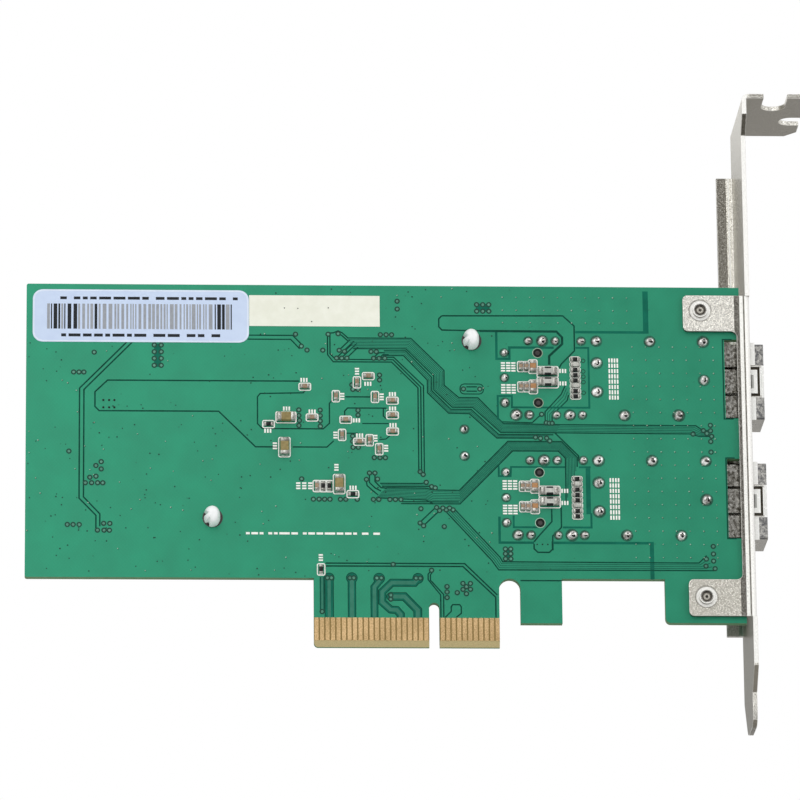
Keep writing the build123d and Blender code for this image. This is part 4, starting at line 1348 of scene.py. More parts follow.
@dataclass
class BoardPrint(PieceBuilder):
    """The card's bare board with its etched copper, vias and white legend."""

    swell: float = 1.3
    copper_inset: Point = (0.14, 0.3)
    pair_frame: Box = (5.2, 48.08, 9.5, 50.0)
    pair_line: float = 0.2
    pair_corner: float = 0.75
    via_eye: float = 0.25
    via_ring: float = 0.5
    pegs: Points = ((19.6, 56.05), (19.6, 46.45), (19.6, 33.1), (19.6, 23.5))
    peg_radii: tuple[float, ...] = (0.42, 0.82, 0.84, 0.98)
    half_rings: tuple[float, ...] = (54.58, 52.53, 51.51, 50.48, 48.43)
    half_ring_at: float = 28.0
    half_ring: Point = (0.28, 0.42)
    field: Box = (-74.3, 13.3, 56.8, 68.6)
    dots: int = 330
    dots_end: float = 12.0
    dots_shown: float = 0.25
    dot_radii: Point = (0.08, 0.12)
    dot_shadow: Triple = (0.07, -0.06, 1.3)
    port_dots: Points = ((37.1, 17.0), (2.5, 2.52), (7, 17))
    top_dots: tuple[float, float, int] = (13.2, 2.56, 10)
    top_dot_rows: tuple[float, ...] = (66.8, 64.3, 61.9)
    clear: tuple[Box, ...] = (
        (-34.1, 60.45, -9.0, 67.4), (-73.6, 57.5, -33.5, 68.0), (-22.2, 0.0, 12.0, 13.0),
    )
    legend_block: Box = (-33.6, 60.95, -9.5, 66.9)
    legend_line: float = 0.2
    legend_corner: float = 0.28
    dash: Point = (0.3, 0.78)
    dash_pitch: float = 0.5
    title: Triple = (-34.3, -10.1, 21.3)
    title_height: float = 0.42
    title_widths: tuple[float, ...] = (0.7, 1.2, 1.9)
    title_gaps: tuple[float, ...] = (0.3, 0.3, 0.9)
    seed: int = 7

    def copper(self) -> bpy.types.Object:
        """Etch the gaps, lines and tracks.

        Returns:
            The printed copper.
        """
        maker = MeshMaker("etched_copper")
        for line in (*LINES, *(line for fan in FANS for line in fan.lines())):
            maker.ribbon(line.path, line.width * self.swell, Lift.GAP, FINE_GAP if line.fine else GAP_GREEN)
        for band in BANDS:
            maker.ribbon(band.path, band.width, Lift.GAP, DEEP_GAP)
        layers = ((Lift.GAP, GAP_GREEN, (0.0, 0.0)), (Lift.TRACK, DEEP_GAP, self.copper_inset))
        for lift, finish, (at_head, at_sides) in layers:
            for track in TRACKS:
                if track.head:
                    maker.ring(*track.path[0], (0.0, track.head - at_head), lift, finish, sides=20)
                maker.ribbon(track.path, track.gap - at_sides, lift, finish)
        maker.laid = 0
        for track in TRACKS:
            maker.ribbon(track.path, track.width, Lift.LANE, TRACK_GREEN)
        maker.frame(self.pair_frame, self.pair_line, self.pair_corner, Lift.GAP, GAP_GREEN)
        return maker.build(self.shop, "green_laminate")

    def vias(self) -> bpy.types.Object:
        """Lay the vias with their etched rings, the small tented ones as dots, and the dark pits.

        Returns:
            The printed vias.
        """
        maker = MeshMaker("board_vias")
        for x, z in VIAS:
            maker.ring(x, z, (self.via_eye, self.via_ring), Lift.VIA, VIA_RING)
            maker.ring(x, z, (0.0, self.via_eye), Lift.VIA, VIA_EYE, sides=14)
        face, lip, wall, rim = self.peg_radii
        for x, z in self.pegs:
            maker.ring(x, z, (0.0, face), Lift.VIA, PEG_FACE_AND_PIN_SHADOW)
        for z in self.half_rings:
            maker.ring(self.half_ring_at, z, self.half_ring, Lift.VIA, VIA_RING, sides=14)
        for x, z in self.pegs:
            maker.ring(x, z, (lip, rim), Lift.VIA, STITCH, sides=20)
            maker.ring(x, z, (face, wall), Lift.PAD, DARK_PIT_AND_SHADE, sides=20)
        chance = random.Random(self.seed)
        right, up, grow = self.dot_shadow
        for x, z in self.stitching():
            radius = chance.uniform(*self.dot_radii)
            maker.ring(x + right, z + up, (0.0, radius * grow), Lift.VIA, VIA_RING, sides=8)
            if x > self.dots_end or chance.random() < self.dots_shown:
                maker.ring(x, z, (0.0, radius), Lift.LEGEND, STITCH, sides=8)
        for x, z, radius in PITS:
            maker.ring(x, z, (0.0, radius), Lift.PAD, DARK_PIT_AND_SHADE, sides=10)
        return maker.build(self.shop, "green_laminate")

    def stitching(self) -> list[Point]:
        """List the small dots: regular rows near the ports, scattered elsewhere.

        Returns:
            The places of the dots that clear the label, the legend's block and the contacts' tracks.
        """
        (x, z), (along, up), (columns, rows) = self.port_dots
        counts = ((i, j) for i in range(columns) for j in range(rows))
        spots = [(round(x + along * i, 2), round(z + up * j, 2)) for i, j in counts]
        start, pitch, count = self.top_dots
        spots += [(start + pitch * i, row) for i in range(count) for row in self.top_dot_rows]
        shuffle = random.Random(self.seed)
        left, bottom, _, top = self.field
        for _ in range(self.dots):
            spots.append((shuffle.uniform(left, self.dots_end), shuffle.uniform(bottom, top)))
        return [spot for spot in spots if not any(is_near(spot, box) for box in self.clear)]

    def legend(self, outlines: Iterable[Box]) -> bpy.types.Object:
        """Print the blank block, an outline round each soldered part, and plain marks beside them.

        Args:
            outlines: left, bottom, right and top of each outline.

        Returns:
            The printed legend.
        """
        maker = MeshMaker("white_legend")
        left, bottom, right, top = self.legend_block
        middle = ((left + right) / 2, (bottom + top) / 2)
        maker.patch(middle, (right - left, top - bottom), Lift.LEGEND, BLANK_LEGEND)
        for box in outlines:
            maker.frame(box, self.legend_line, self.legend_corner, Lift.LEGEND, LEGEND)
        for x, z, count, way in MARKS:
            self.mark(maker, x, z, count, way)
        chance = random.Random(self.seed + 1)
        at, end, height = self.title
        while at < end:
            width = chance.choice(self.title_widths)
            maker.patch((at + width / 2, height), (width, self.title_height), Lift.LEGEND, LEGEND)
            at += width + chance.choice(self.title_gaps)
        return maker.build(self.shop, "label_paper")

    def mark(self, maker: MeshMaker, x: float, z: float, count: int, way: Way) -> None:
        """Print a short row of plain dashes where the real card has a part's number.

        Args:
            maker: gathers the legend's faces.
            x: the row's middle.
            z: the row's height.
            count: how many dashes it has.
            way: whether the row runs along the board or up it.
        """
        for i in range(count):
            away = (i - (count - 1) / 2) * self.dash_pitch
            if way is Way.ALONG:
                maker.patch((x + away, z), self.dash, Lift.LEGEND, LEGEND)
            else:
                maker.patch((x, z + away), self.dash[::-1], Lift.LEGEND, LEGEND)


def is_near(spot: Point, box: Box, margin: float = 0.0) -> bool:
    """Tell whether a spot lies in a box or nearer to it than a margin."""
    return box[0] - margin <= spot[0] <= box[2] + margin and box[1] - margin <= spot[1] <= box[3] + margin


@dataclass
class FarPrint(PieceBuilder):
    """Outlines, plain marks, tracks and masked holes on the board's component side."""

    framed: tuple[str, ...] = (
        "memory_chips", "regulators", "power_coils", "can_capacitors", "crystal", "lane_capacitors",
    )
    kept_clear: tuple[str, ...] = (
        "heat_sink", "sfp_cage_upper", "sfp_cage_lower", "light_housings", "bracket_screws",
    )
    field: Box = (-74.2, 13.4, 56.5, 68.4)
    margin: float = 0.45
    line: float = 0.17
    dash: Point = (0.34, 0.8)
    dash_pitch: float = 0.55
    dash_gap: float = 0.4
    least_dashed: float = 1.5
    holes: int = 190
    hole_field: Box = (-72.2, 17.4, 52.5, 66.4)
    hole: tuple[tuple[float, Lift, AnyFinish], ...] = (
        (0.42, Lift.VIA, VIA_RING), (0.24, Lift.LEGEND, VIA_EYE),
    )
    hole_raster: float = 1.3
    hole_margin: float = 1.4
    hole_sides: int = 14
    hole_reach: float = 0.2
    wide_share: float = 0.5
    lane_widths: Point = (0.75, 0.36)
    lane_reach: Point = (5.0, 0.2)
    lanes_to: float = 21.0
    seed: int = 23

    def build(self) -> bpy.types.Object:
        """Make the print.

        Returns:
            The print.
        """
        maker = MeshMaker("far_print")
        left, bottom, right, top = self.field
        taken = []
        for name in (*self.framed, *self.kept_clear):
            for low, high in solids_of(self.nodes[name]):
                box = (
                    max(low.x / MM - self.margin, left), max(low.z / MM - self.margin, bottom),
                    min(high.x / MM + self.margin, right), min(high.z / MM + self.margin, top),
                )
                taken.append(box)
                if name in self.framed:
                    self.outline(maker, box)
                if name == "lane_capacitors":
                    self.lane(maker, (box[0] + box[2]) / 2, box[1], box[3])
        chance = random.Random(self.seed)
        left, bottom, right, top = self.hole_field
        for _ in range(self.holes):
            x, z = (
                round(chance.uniform(*ends) / self.hole_raster) * self.hole_raster
                for ends in ((left, right), (bottom, top))
            )
            if not any(is_near((x, z), box, self.hole_margin) for box in taken):
                reach = self.hole_reach if chance.random() < self.wide_share else 0.0
                taken.append((x - reach, z - reach, x + reach, z + reach))
                for radius, lift, finish in self.hole:
                    rim = circle(x, z, radius, self.hole_sides)
                    maker.sheet(rim, lift.value, finish, Side.COMPONENT)
        return maker.build(self.shop, "label_paper")

    def outline(self, maker: MeshMaker, box: Box) -> None:
        """Print an outline with a short row of dashes above it.

        Args:
            maker: gathers the print's faces.
            box: left, bottom, right and top.
        """
        left, bottom, right, top = box
        for path in loop_pairs(((left, bottom), (right, bottom), (right, top), (left, top))):
            maker.ribbon(path, self.line, Lift.LEGEND, LEGEND, Side.COMPONENT)
        width, height = self.dash
        low, high = top + self.dash_gap, top + self.dash_gap + height
        if high + height / 2 < self.field[3] and right - left > self.least_dashed:
            for i in (-1, 0, 1):
                middle = (left + right) / 2 + i * self.dash_pitch
                maker.ribbon(((middle, low), (middle, high)), width, Lift.LEGEND, LEGEND, Side.COMPONENT)

    def lane(self, maker: MeshMaker, x: float, bottom: float, top: float) -> None:
        """Run a track from the contacts through one lane's capacitor toward the controller.

        Args:
            maker: gathers the print's faces.
            x: the lane's place along the board.
            bottom: where the capacitor's outline starts.
            top: where it ends.
        """
        reach, gap = self.lane_reach
        for start, end in ((bottom - reach, bottom - gap), (top + gap, self.lanes_to)):
            if end > start:
                path = ((x, start), (x, end))
                maker.ribbon(path, self.lane_widths[0], Lift.GAP, GAP_GREEN, Side.COMPONENT)
                maker.ribbon(path, self.lane_widths[1], Lift.TRACK, TRACK_GREEN, Side.COMPONENT)


@dataclass(frozen=True)
class ChipKind:
    """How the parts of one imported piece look: their bodies, ends and printed outlines."""

    node: str
    body: AnyFinish
    slot: str
    cap: float
    margin: float = 0.28
    outlined: bool = True
    odd_body: AnyFinish | None = None
    odd_places: tuple[int, ...] = ()
    end_bars: bool = False


@dataclass
class ChipParts(PieceBuilder):
    """The small soldered parts, each with a rounded body, tinned ends and solder fillets."""

    kinds: tuple[ChipKind, ...]
    skin: float = 0.05
    overlap: float = 0.8
    body_bevel: float = 0.06
    cap_bevel: float = 0.12
    fillet: float = 0.22
    fillet_profile: Points = ((0.0, 1.0), (0.25, 0.45), (0.55, 0.18), (1.0, 0.0), (0.0, 0.0))
    fillet_share: float = 0.6
    bar: Triple = (0.62, 0.3, 0.01)
    bar_bevel: float = 0.05

    def build(self) -> list[Box]:
        """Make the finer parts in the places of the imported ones.

        Returns:
            The outlines that the board's legend prints round them.
        """
        outlines = []
        for kind in self.kinds:
            maker, edge = MeshMaker(f"fine_{kind.node}"), kind.margin
            places = solids_of(self.nodes[kind.node])
            for number, (low, high) in enumerate(places):
                self.chip(maker, kind, low, high, kind.odd_body if number in kind.odd_places else kind.body)
                if kind.outlined:
                    left, bottom, right, top = (at / MM for at in (low.x, low.z, high.x, high.z))
                    outlines.append((left - edge, bottom - edge, right + edge, top + edge))
            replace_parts(maker.build(self.shop, kind.slot, smooth=True), kind.node)
            LOG.info("%s: %d parts", kind.node, len(places))
        return outlines

    def chip(self, maker: MeshMaker, kind: ChipKind, low: Vector, high: Vector, body: AnyFinish) -> None:
        """Add one part.

        Args:
            maker: gathers the piece's faces.
            kind: how the part looks.
            low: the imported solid's lowest corner.
            high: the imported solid's highest corner.
            body: the body's finish.
        """
        along = 0 if high.x - low.x > high.z - low.z else 2
        across = 2 - along
        skin = self.skin * MM
        inner_low, inner_high = low.copy(), high.copy()
        inner_low[along] += kind.cap * MM * self.overlap
        inner_high[along] -= kind.cap * MM * self.overlap
        inner_low[across] += skin
        inner_high[across] -= skin
        if high.y < 0:
            inner_low.y += skin
        else:
            inner_high.y -= skin
        maker.soft_box(inner_low, inner_high, self.body_bevel, body)
        for end in (0, 1):
            cap_low, cap_high = low.copy(), high.copy()
            if end:
                cap_low[along] = high[along] - kind.cap * MM
            else:
                cap_high[along] = low[along] + kind.cap * MM
            maker.soft_box(cap_low, cap_high, self.cap_bevel, TIN, steps=3)
            self.foot(maker, cap_low, cap_high, along, end)
        if kind.end_bars:
            self.bars(maker, low, high, along)

    def foot(self, maker: MeshMaker, low: Vector, high: Vector, along: int, end: int) -> None:
        """Add the solder fillet at one end of a part.

        Args:
            maker: gathers the piece's faces.
            low: lowest corner of the end.
            high: highest corner of the end.
            along: the axis that the part lies along.
            end: 0 for the low end, 1 for the high end.
        """
        side = -1 if high.y < 0 else 1
        tall = (high.y - low.y) * self.fillet_share
        reach = self.fillet * MM * (1 if end else -1)
        wall = high[along] if end else low[along]
        across = 2 - along
        rows = []
        for at in (low[across] + self.skin * MM, high[across] - self.skin * MM):
            rows.append([])
            for out, up in self.fillet_profile:
                corner = Vector((0.0, side * HALF_BOARD * MM + side * up * tall, 0.0))
                corner[along] = wall + out * reach
                corner[across] = at
                rows[-1].append(corner)
        maker.skin(rows, SOLDER)

    def bars(self, maker: MeshMaker, low: Vector, high: Vector, along: int) -> None:
        """Add the two dark bars at the middle of an inductor.

        Args:
            maker: gathers the piece's faces.
            low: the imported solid's lowest corner.
            high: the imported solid's highest corner.
            along: the axis that the part lies along.
        """
        middle = (low[along] + high[along]) / 2
        across = 2 - along
        half, deep, proud = (size * MM for size in self.bar)
        for edges in ((low[across], low[across] + deep), (high[across] - deep, high[across])):
            bar_low, bar_high = low.copy(), high.copy()
            bar_low[along], bar_high[along] = middle - half, middle + half
            bar_low[across], bar_high[across] = edges
            bar_low.y -= proud
            maker.soft_box(bar_low, bar_high, self.bar_bevel, BLACK_BODY)


@dataclass
class SolderJoints(PieceBuilder):
    """Bright solder cones round the pins, each with a ring of painted shade at its foot, a dark painted
    shade mark by its pin and its own slump.
    """

    sides: int = 22
    profile: Points = (
        (0.95, 0.0), (0.94, 0.08), (0.86, 0.2), (0.76, 0.34), (0.63, 0.46), (0.48, 0.54), (0.3, 0.59),
        (0.12, 0.6),
    )
    shade: Point = (0.7, 1.2)
    small: float = 0.8
    small_columns: tuple[float, ...] = (5.9, 13.4, 17.9, 22.9, 27.7)
    column_reach: float = 0.9
    sizes: Point = (0.93, 1.03)
    long_ways: Point = (0.3, 1.2)
    swells: Point = (0.08, 0.05)
    # The dark mark beside each pin is painted shade.
    pin_shade: Point = (0.3, 0.5)
    pin_shade_away: Point = (0.16, -0.1)
    pin_shade_lift: float = 0.012
    pin_shade_sides: int = 12
    tilt: Point = (60.0, 40.0)
    seed: int = 11

    def build(self) -> bpy.types.Object:
        """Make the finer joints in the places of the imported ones.

        Returns:
            The joints.
        """
        chance = random.Random(self.seed)
        maker = MeshMaker("fine_solder_joints")
        for low, high in solids_of(self.nodes["solder_joints"]):
            x, z = (low.x + high.x) / 2 / MM, (low.z + high.z) / 2 / MM
            lean, long_way = chance.uniform(0, math.tau), chance.uniform(*self.long_ways)
            size = chance.uniform(*self.sizes)
            if any(abs(x - column) < self.column_reach for column in self.small_columns):
                size *= self.small
            reach = partial(self.slump, size, lean, long_way)
            maker.turned(self.profile, on_board(x, z, 0.0), self.sides, SOLDER, reach)
            # A ring of painted shade round the joint's foot.
            maker.ring(x, z, (self.shade[0] * size, self.shade[1] * size), Lift.GAP, JOINT_SHADE, self.sides)
            self.paint_pin_shade(maker, x + self.pin_shade_away[0] * size, z + self.pin_shade_away[1] * size, size)
        piece = maker.build(self.shop, "solder", smooth=True)
        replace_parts(piece, "solder_joints")
        return piece

    def slump(self, size: float, lean: float, long_way: float, angle: float) -> float:
        """Tell how far a joint reaches at an angle, against a round one of plain size.

        Args:
            size: how large the joint is.
            lean: the angle that it leans to.
            long_way: the angle of its longer axis.
            angle: the angle round the pin, in radians.

        Returns:
            A factor for the joint's radius.
        """
        swell, bulge = self.swells
        return size * (1 + swell * math.cos(2 * (angle - long_way)) + bulge * math.cos(angle - lean))

    def paint_pin_shade(self, maker: MeshMaker, x: float, z: float, size: float) -> None:
        """Add the small dark mark of painted shade beside a cut pin.

        Args:
            maker: gathers the joints' faces.
            x: the mark's middle.
            z: its height.
            size: how large the joint is, against a plain one.
        """
        lean = math.radians(self.tilt[0] + self.tilt[1] * math.sin(3 * x + z))
        right, up = math.sin(lean), math.cos(lean)
        rim = []
        for a, b in circle(0.0, 0.0, size, self.pin_shade_sides):
            u, v = self.pin_shade[0] * a, self.pin_shade[1] * b
            rim.append((x + u * right - v * up, z + v * right + u * up))
        # A flat dark sheet just above the joint's top: painted shade.
        maker.sheet(rim, self.profile[-1][1] + self.pin_shade_lift, DARK_PIT_AND_SHADE)


@dataclass
class PushPins(PieceBuilder):
    """White nylon push pins with split barbed tips, and the coil springs under their heads."""

    head: Points = (
        (1.4, 9.2), (2.55, 9.2), (2.6, 9.35), (2.6, 10.3), (2.45, 10.55), (2.1, 10.6), (0.5, 10.6),
    )
    shank: float = 1.3
    shank_top: float = 1.2
    tip: Points = (
        (1.32, 0.0), (1.72, 0.12), (1.8, 0.4), (1.74, 1.1), (1.56, 1.9), (1.3, 2.5), (0.95, 2.8), (0.4, 2.9),
    )
    head_sides: int = 32
    tip_sides: int = 48
    slim: float = 0.84
    tall: float = 1.08
    slots: Points = ((168.0, 13.0), (238.0, 12.0))
    slot_reach: float = 0.72
    shadow: Triple = (0.12, -0.06, 1.86)
    wire: float = 0.25
    wire_sides: int = 8
    coil_radius: float = 2.1
    turns: int = 4
    steps: int = 20

    def build(self) -> bpy.types.Object:
        """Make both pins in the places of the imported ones.

        Returns:
            The pins.
        """
        maker = MeshMaker("fine_push_pins")
        for low, high in solids_of(self.nodes["push_pins"]):
            middle, top = (low + high) / 2, high.y / MM
            base = Vector((middle.x, (top - self.head[-1][1]) * MM, middle.z))
            maker.turned(self.head, base, self.head_sides, NYLON, out=1)
            reach = ((self.shank, self.shank_top - top), (self.shank, 0.0), *self.tip)
            x, z = middle.x / MM, middle.z / MM
            maker.turned(reach, on_board(x, z, 0.0), self.tip_sides, NYLON, self.barb)
            # A dark ring round the shank, offset down and to the right: the hole in the board with its
            # painted shadow.
            right, up, radius = self.shadow
            rim = (self.shank, radius)
            maker.ring(x + right, z + up, rim, Lift.GAP, PEG_FACE_AND_PIN_SHADOW, self.head_sides)
        piece = maker.build(self.shop, "white_nylon", smooth=True)
        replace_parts(piece, "push_pins")
        return piece

    def barb(self, angle: float) -> float:
        """Tell how far a tip reaches at an angle: tall and slim, with two cut slots at its left.

        Args:
            angle: the angle round the pin, in radians.

        Returns:
            A factor for the tip's radius.
        """
        reach = math.hypot(self.slim * math.cos(angle), self.tall * math.sin(angle))
        for slot, half in self.slots:
            away = abs((math.degrees(angle) - slot + 180) % 360 - 180)
            if away < half:
                return reach * self.slot_reach
        return reach

    def springs(self) -> bpy.types.Object:
        """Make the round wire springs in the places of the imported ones.

        Returns:
            The springs.
        """
        maker = MeshMaker("fine_springs")
        total = self.turns * self.steps
        for low, high in solids_of(self.nodes["pin_springs"]):
            middle = (low + high) / 2
            start, end = low.y / MM + self.wire, high.y / MM - self.wire
            rows = []
            for i in range(total + 1):
                angle = math.tau * i / self.steps
                rise = start + (end - start) * i / total
                rows.append([
                    Vector((
                        middle.x + reach * math.cos(angle) * MM, (rise + up) * MM,
                        middle.z + reach * math.sin(angle) * MM,
                    ))
                    for reach, up in circle(self.coil_radius, 0.0, self.wire, self.wire_sides)
                ])
            maker.skin(rows, SPRING_WIRE)
        piece = maker.build(self.shop, "spring_steel", smooth=True)
        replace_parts(piece, "pin_springs")
        return piece


@dataclass
class PortShades(PieceBuilder):
    """Dark sheets of painted shade that lie on the inside of each port's near wall, behind its latch tongue.
    """

    ports: tuple[str, ...] = ("sfp_cage_upper", "sfp_cage_lower")
    wall: float = 0.28
    thick: float = 0.1
    length: Point = (2.4, 0.35)
    half_height: float = 3.2
    bevel: float = 0.03

    def build(self) -> bpy.types.Object:
        """Make both sheets of painted shade.

        Returns:
            The sheets of painted shade.
        """
        maker = MeshMaker("port_shades")
        back, front = ((HALF_BOARD + self.wall + deep) * MM for deep in (0.0, self.thick))
        for port in self.ports:
            low, high = (Vector(corner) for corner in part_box(port))
            middle, half = (low.z + high.z) / 2, self.half_height * MM
            left, right = (high.x - inset * MM for inset in self.length)
            for bottom, top in ((middle - half, middle), (middle, middle + half)):
                corners = (Vector((left, back, bottom)), Vector((right, front, top)))
                maker.soft_box(*corners, self.bevel, PORT_SHADE)
        return maker.build(self.shop, "black_plastic", smooth=True)


@dataclass
class LabelPrint(PieceBuilder):
    """Generic print on the paper label: a bar field of its own pattern and two rows of dashes."""

    box: Box = (-73.45, 57.7, -33.65, 67.8)
    bars: Box = (-70.8, 60.2, -36.1, 65.05)
    bar_widths: tuple[float, ...] = (0.22, 0.34, 0.5, 0.68)
    bar_gaps: tuple[float, ...] = (0.2, 0.26, 0.4)
    bold_ends: Point = (9.0, 4.6)
    bold_share: float = 0.6
    bar_room: float = 0.6
    rows: tuple[tuple[float, ...], ...] = ((-68.4, -34.9, 66.15, 0.85), (-68.2, -39.0, 59.0, 0.9))
    dash_widths: tuple[float, ...] = (0.9, 1.2, 1.6, 2.2)
    dash_gaps: tuple[float, ...] = (0.45, 0.45, 1.3)
    dash_height: float = 0.64
    dash_room: float = 1.0
    rim: float = 0.3
    rim_inset: float = 0.02
    rim_lift: float = 0.108
    corner: float = 1.85
    ink_lift: float = 0.112
    seed: int = 23

    def build(self) -> bpy.types.Object:
        """Print the label.

        Returns:
            The print.
        """
        maker = MeshMaker("label_print")
        chance = random.Random(self.seed)
        left, bottom, right, top = self.bars
        at = left
        while at < right - self.bar_room:
            width = chance.choice(self.bar_widths)
            near_end = at - left < self.bold_ends[0] or right - at < self.bold_ends[1]
            ink = INK if near_end and chance.random() < self.bold_share else FAINT_INK
            self.bar(maker, (at, bottom), (width, top - bottom), ink)
            at += width + chance.choice(self.bar_gaps)
        for at, end, middle, height in self.rows:
            tall = height * self.dash_height
            while at < end - self.dash_room:
                width = chance.choice(self.dash_widths)
                self.bar(maker, (at, middle - tall / 2), (width, tall), INK)
                at += width + chance.choice(self.dash_gaps)
        return maker.build(self.shop, "label_paper")

    def bar(self, maker: MeshMaker, corner: Point, size: Point, finish: AnyFinish) -> None:
        """Print one upright bar or dash.

        Args:
            maker: gathers the print's faces.
            corner: its lower left corner.
            size: its width and height.
            finish: its ink.
        """
        (x, z), (width, height) = corner, size
        corners = ((x, z), (x + width, z), (x + width, z + height), (x, z + height))
        maker.sheet(corners, self.ink_lift, finish)

    def border(self) -> bpy.types.Object:
        """Print the paler edge of the label.

        Returns:
            The border.
        """
        maker = MeshMaker("label_rim")
        half = self.rim / 2
        inset = half + self.rim_inset
        left, bottom, right, top = self.box
        box = (left + inset, bottom + inset, right - inset, top - inset)
        outer, inner = (rounded_box(box, self.corner - inset, grow) for grow in (half, -half))
        maker.band(outer, inner, self.rim_lift, PAPER_RIM)
        return maker.build(self.shop, "label_paper")


@dataclass(frozen=True)
class PhotoCamera:
    """The camera, fitted to the photograph: it looks up at the solder side from far away."""

    azimuth: float = 3.0
    elevation: float = 16.692
    roll: float = -0.561
    target: Triple = (-5.85, 0.0, 47.091)
    distance: float = 1200.0
    focal: float = 6519.2
    frame: float = 800.0
    sensor: float = 36.0
    clip: Point = (0.05, 20.0)

    def build(self) -> bpy.types.Object:
        """Make the camera and give it to the scene.

        Returns:
            The camera.
        """
        azimuth, elevation, roll = (math.radians(a) for a in (self.azimuth, self.elevation, self.roll))
        ahead = direction(azimuth, elevation)
        right = ahead.cross(Vector((0, 0, 1))).normalized()
        up = right.cross(ahead)
        turned_right = right * math.cos(roll) + up * math.sin(roll)
        turned_up = up * math.cos(roll) - right * math.sin(roll)
        data = bpy.data.cameras.new("photo camera")
        data.sensor_width = self.sensor
        data.lens = self.focal / self.frame * self.sensor
        data.clip_start, data.clip_end = self.clip
        camera = add_object("photo camera", data)
        spin = Matrix((turned_right, turned_up, -ahead)).transposed().to_4x4()
        place = (Vector(self.target) - ahead * self.distance) * MM
        camera.matrix_world = Matrix.Translation(place) @ spin
        bpy.context.scene.camera = camera
        return camera


def direction(turn: float, rise: float) -> Vector:
    """Return the unit vector at a turn from +Y toward +X, and a rise, both in radians."""
    return Vector((math.sin(turn) * math.cos(rise), math.cos(turn) * math.cos(rise), math.sin(rise)))


@dataclass(frozen=True)
class Card:
    """A grey card that only bright surfaces mirror: where it stands round the studio, and its grey."""

    name: str
    turn: Point
    rise: Point
    grey: float


@dataclass(frozen=True)
class Lamp:
    """A soft lamp: where it stands and its width in metres, and its power in watts."""

    name: str
    place: Triple
    size: float
    power: float


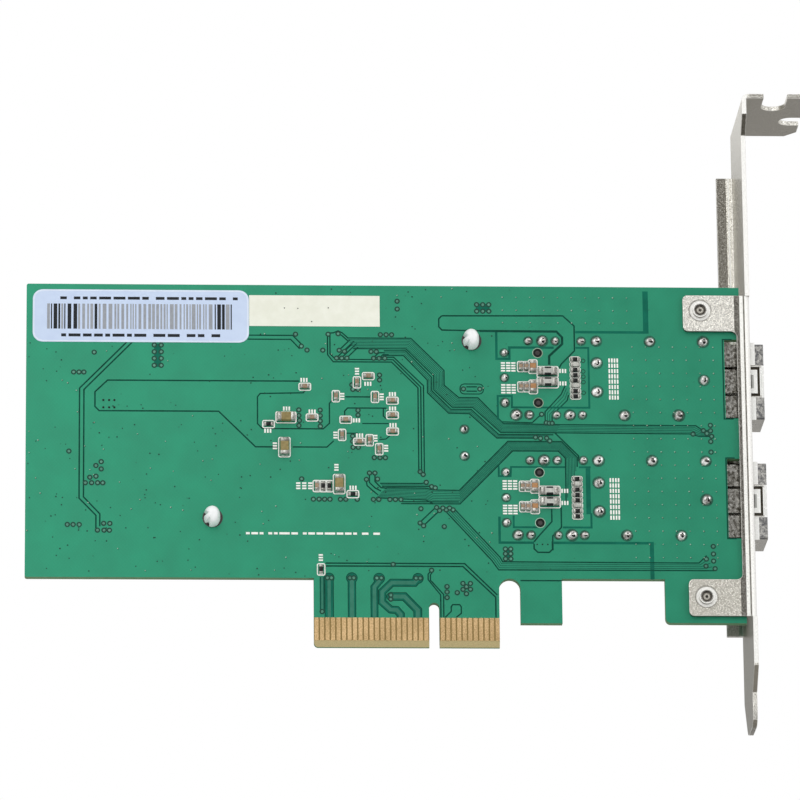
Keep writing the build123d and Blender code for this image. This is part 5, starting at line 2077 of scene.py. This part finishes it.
@dataclass
class Studio:
    """Plain pale floor, white surroundings, soft lamps, and grey cards that give the metal its contrast."""

    world_level: float = 0.66
    floor_height: float = -0.0146
    floor_reach: float = 1.6
    floor_grey: float = 0.92
    floor_fade: Point = (0.25, 1.1)
    aim: Triple = (0.0, 0.0, 0.04)
    lamps: tuple[Lamp, ...] = (
        Lamp("front lamp", (-0.35, -1.1, 0.65), 0.9, 4.5),
        Lamp("side lamp", (0.9, -0.6, 0.5), 0.6, 1.9),
        Lamp("back lamp", (-0.2, 0.9, 0.8), 0.8, 2.2),
    )
    card_reach: float = 3.0
    card_faces: tuple[int, int] = (12, 16)
    cards: tuple[Card, ...] = (
        Card("front card", (-32.0, 17.0), (-20.0, 55.0), 0.62),
        Card("slim front card", (17.0, 28.0), (-30.0, 62.0), 0.2),
        Card("slim side card", (57.0, 70.0), (-30.0, 62.0), 0.2),
        Card("far side card", (-120.0, -84.0), (-30.0, 50.0), 0.45),
        Card("back card", (135.0, 232.0), (-15.0, 42.0), 0.45),
    )

    def build(self) -> None:
        """Set the surroundings, the floor, the cards and the lamps."""
        bpy.context.scene.view_settings.view_transform = "Standard"
        self.world()
        self.floor()
        for card in self.cards:
            self.card(card)
        for lamp in self.lamps:
            self.lamp(lamp)

    def seen(self, graph: Graph) -> bpy.types.NodeSocket:
        """Make a mask that is one for rays from the camera, off gloss and through glass.

        Args:
            graph: where the mask's nodes go.

        Returns:
            The mask's socket.
        """
        path = graph.add("LightPath")
        bright = graph.math("ADD", path.outputs["Is Camera Ray"], path.outputs["Is Glossy Ray"])
        return graph.math("MINIMUM", graph.math("ADD", bright, path.outputs["Is Transmission Ray"]), 1.0)

    def world(self) -> None:
        """Make the surroundings: white where they are seen, and a plain light level elsewhere."""
        world = bpy.data.worlds.new("studio")
        world.use_nodes = True
        world.node_tree.nodes.clear()
        graph = Graph(world.node_tree)
        white = graph.add("Background", in_Color=(1, 1, 1, 1), in_Strength=1.0)
        light = graph.add("Background", in_Color=(1, 1, 1, 1), in_Strength=self.world_level)
        both = graph.add("MixShader", in_0=self.seen(graph), in_1=light.outputs[0], in_2=white.outputs[0])
        graph.add("OutputWorld", in_Surface=both.outputs[0])
        bpy.context.scene.world = world

    def floor(self) -> None:
        """Make the floor: pale, fading to white far away, and not seen from below."""
        mesh = bmesh.new()
        bmesh.ops.create_circle(mesh, cap_ends=True, segments=64, radius=self.floor_reach)
        floor, graph = self.staged("floor", mesh)
        floor.location.z = self.floor_height
        below = graph.add("NewGeometry").outputs["Backfacing"]
        place = graph.add("TexCoord").outputs["Object"]
        away = graph.add("VectorMath", operation="LENGTH", in_0=place).outputs["Value"]
        far = graph.span(away, *self.floor_fade, 0.0, 1.0)
        clear = graph.math("MULTIPLY", graph.math("MAXIMUM", below, far), self.seen(graph))
        pale = graph.add("BsdfDiffuse", in_Color=(*(self.floor_grey,) * 3, 1))
        open_air = graph.add("BsdfTransparent")
        both = graph.add("MixShader", in_0=clear, in_1=pale.outputs[0], in_2=open_air.outputs[0])
        graph.add("OutputMaterial", in_Surface=both.outputs[0])

    def card(self, card: Card) -> None:
        """Stand one grey card: no camera sees it, and it takes and gives no light.

        Args:
            card: where it stands and how grey it is.
        """
        mesh = bmesh.new()
        rises, turns = (
            [math.radians(start + (end - start) * i / count) for i in range(count + 1)]
            for (start, end), count in zip((card.rise, card.turn), self.card_faces)
        )
        rows = []
        for rise in rises:
            ways = [direction(math.pi - turn, rise) for turn in turns]
            rows.append([mesh.verts.new(way * self.card_reach) for way in ways])
        for low, high in zip(rows, rows[1:]):
            for a, b, c, d in zip(low, low[1:], high[1:], high):
                mesh.faces.new((a, b, c, d))
        piece, graph = self.staged(card.name, mesh)
        piece.visible_camera = piece.visible_diffuse = piece.visible_shadow = False
        glow = graph.add("Emission", in_Color=(1, 1, 1, 1), in_Strength=card.grey)
        graph.add("OutputMaterial", in_Surface=glow.outputs[0])

    def staged(self, name: str, mesh: bmesh.types.BMesh) -> tuple[bpy.types.Object, Graph]:
        """Stand a mesh on the stage, outside the card.

        Args:
            name: the name of the object and of its material.
            mesh: its shape, which is freed.

        Returns:
            The object, and the graph of its empty material.
        """
        data = bpy.data.meshes.new(name)
        mesh.to_mesh(data)
        mesh.free()
        piece = add_object(name, data)
        material, graph = empty_material(name)
        data.materials.append(material)
        return piece, graph

    def lamp(self, lamp: Lamp) -> None:
        """Add one soft lamp that points at the card.

        Args:
            lamp: where it stands and how strong it is.
        """
        data = bpy.data.lights.new(lamp.name, "AREA")
        data.size, data.energy = lamp.size, lamp.power
        made, place = add_object(lamp.name, data), Vector(lamp.place)
        made.location = place
        made.rotation_euler = (Vector(self.aim) - place).to_track_quat("-Z", "Y").to_euler()


CHIP_KINDS = (
    ChipKind("large_capacitors", OLIVE_BODY, "brown_ceramic", 0.75, margin=0.25),
    ChipKind("small_capacitors", TAN_BODY, "tan_ceramic", 0.42),
    ChipKind("small_resistors", BLACK_BODY, "black_chip", 0.4),
    ChipKind("port_capacitors", TAN_BODY, "tan_ceramic", 0.5, margin=0.2),
    ChipKind("filter_capacitors", ORANGE_BODY, "brown_ceramic", 0.68, margin=0.22),
    ChipKind("port_inductors", FERRITE, "grey_ferrite", 0.85, margin=0.3, end_bars=True),
    ChipKind(
        "port_resistors", BLACK_BODY, "black_chip", 0.42, margin=0.1, odd_body=FERRITE,
        odd_places=(2, 6, 10, 14),
    ),
    ChipKind("lane_capacitors", TAN_BODY, "tan_ceramic", 0.42, outlined=False),
)


def main() -> None:
    """Build the whole scene."""
    logging.basicConfig(level=logging.INFO, format="%(name)s: %(message)s")
    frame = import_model()
    nodes = frame["nodes"]
    camera = PhotoCamera().build()
    LOG.info("camera at %s", tuple(round(v, 3) for v in camera.location))
    Studio().build()
    shop = Paintshop()
    finishes = PACKED_FINISHES | {kind.node: kind.body for kind in CHIP_KINDS}
    for name, node in nodes.items():
        shop.dress(node, finishes[name])
    LOG.info("dressed %d packed pieces", len(nodes))
    outlines = ChipParts(shop, nodes, CHIP_KINDS).build()
    board, pins, label = BoardPrint(shop, nodes), PushPins(shop, nodes), LabelPrint(shop, nodes)
    pieces = (
        FarPrint(shop, nodes).build(), board.copper(), board.vias(), board.legend(outlines),
        SolderJoints(shop, nodes).build(), pins.build(), pins.springs(), PortShades(shop, nodes).build(),
        label.build(), label.border(),
    )
    for piece in pieces:
        LOG.info("%s: %d faces", piece.name, len(piece.data.polygons))


if __name__ == "__main__":
    main()
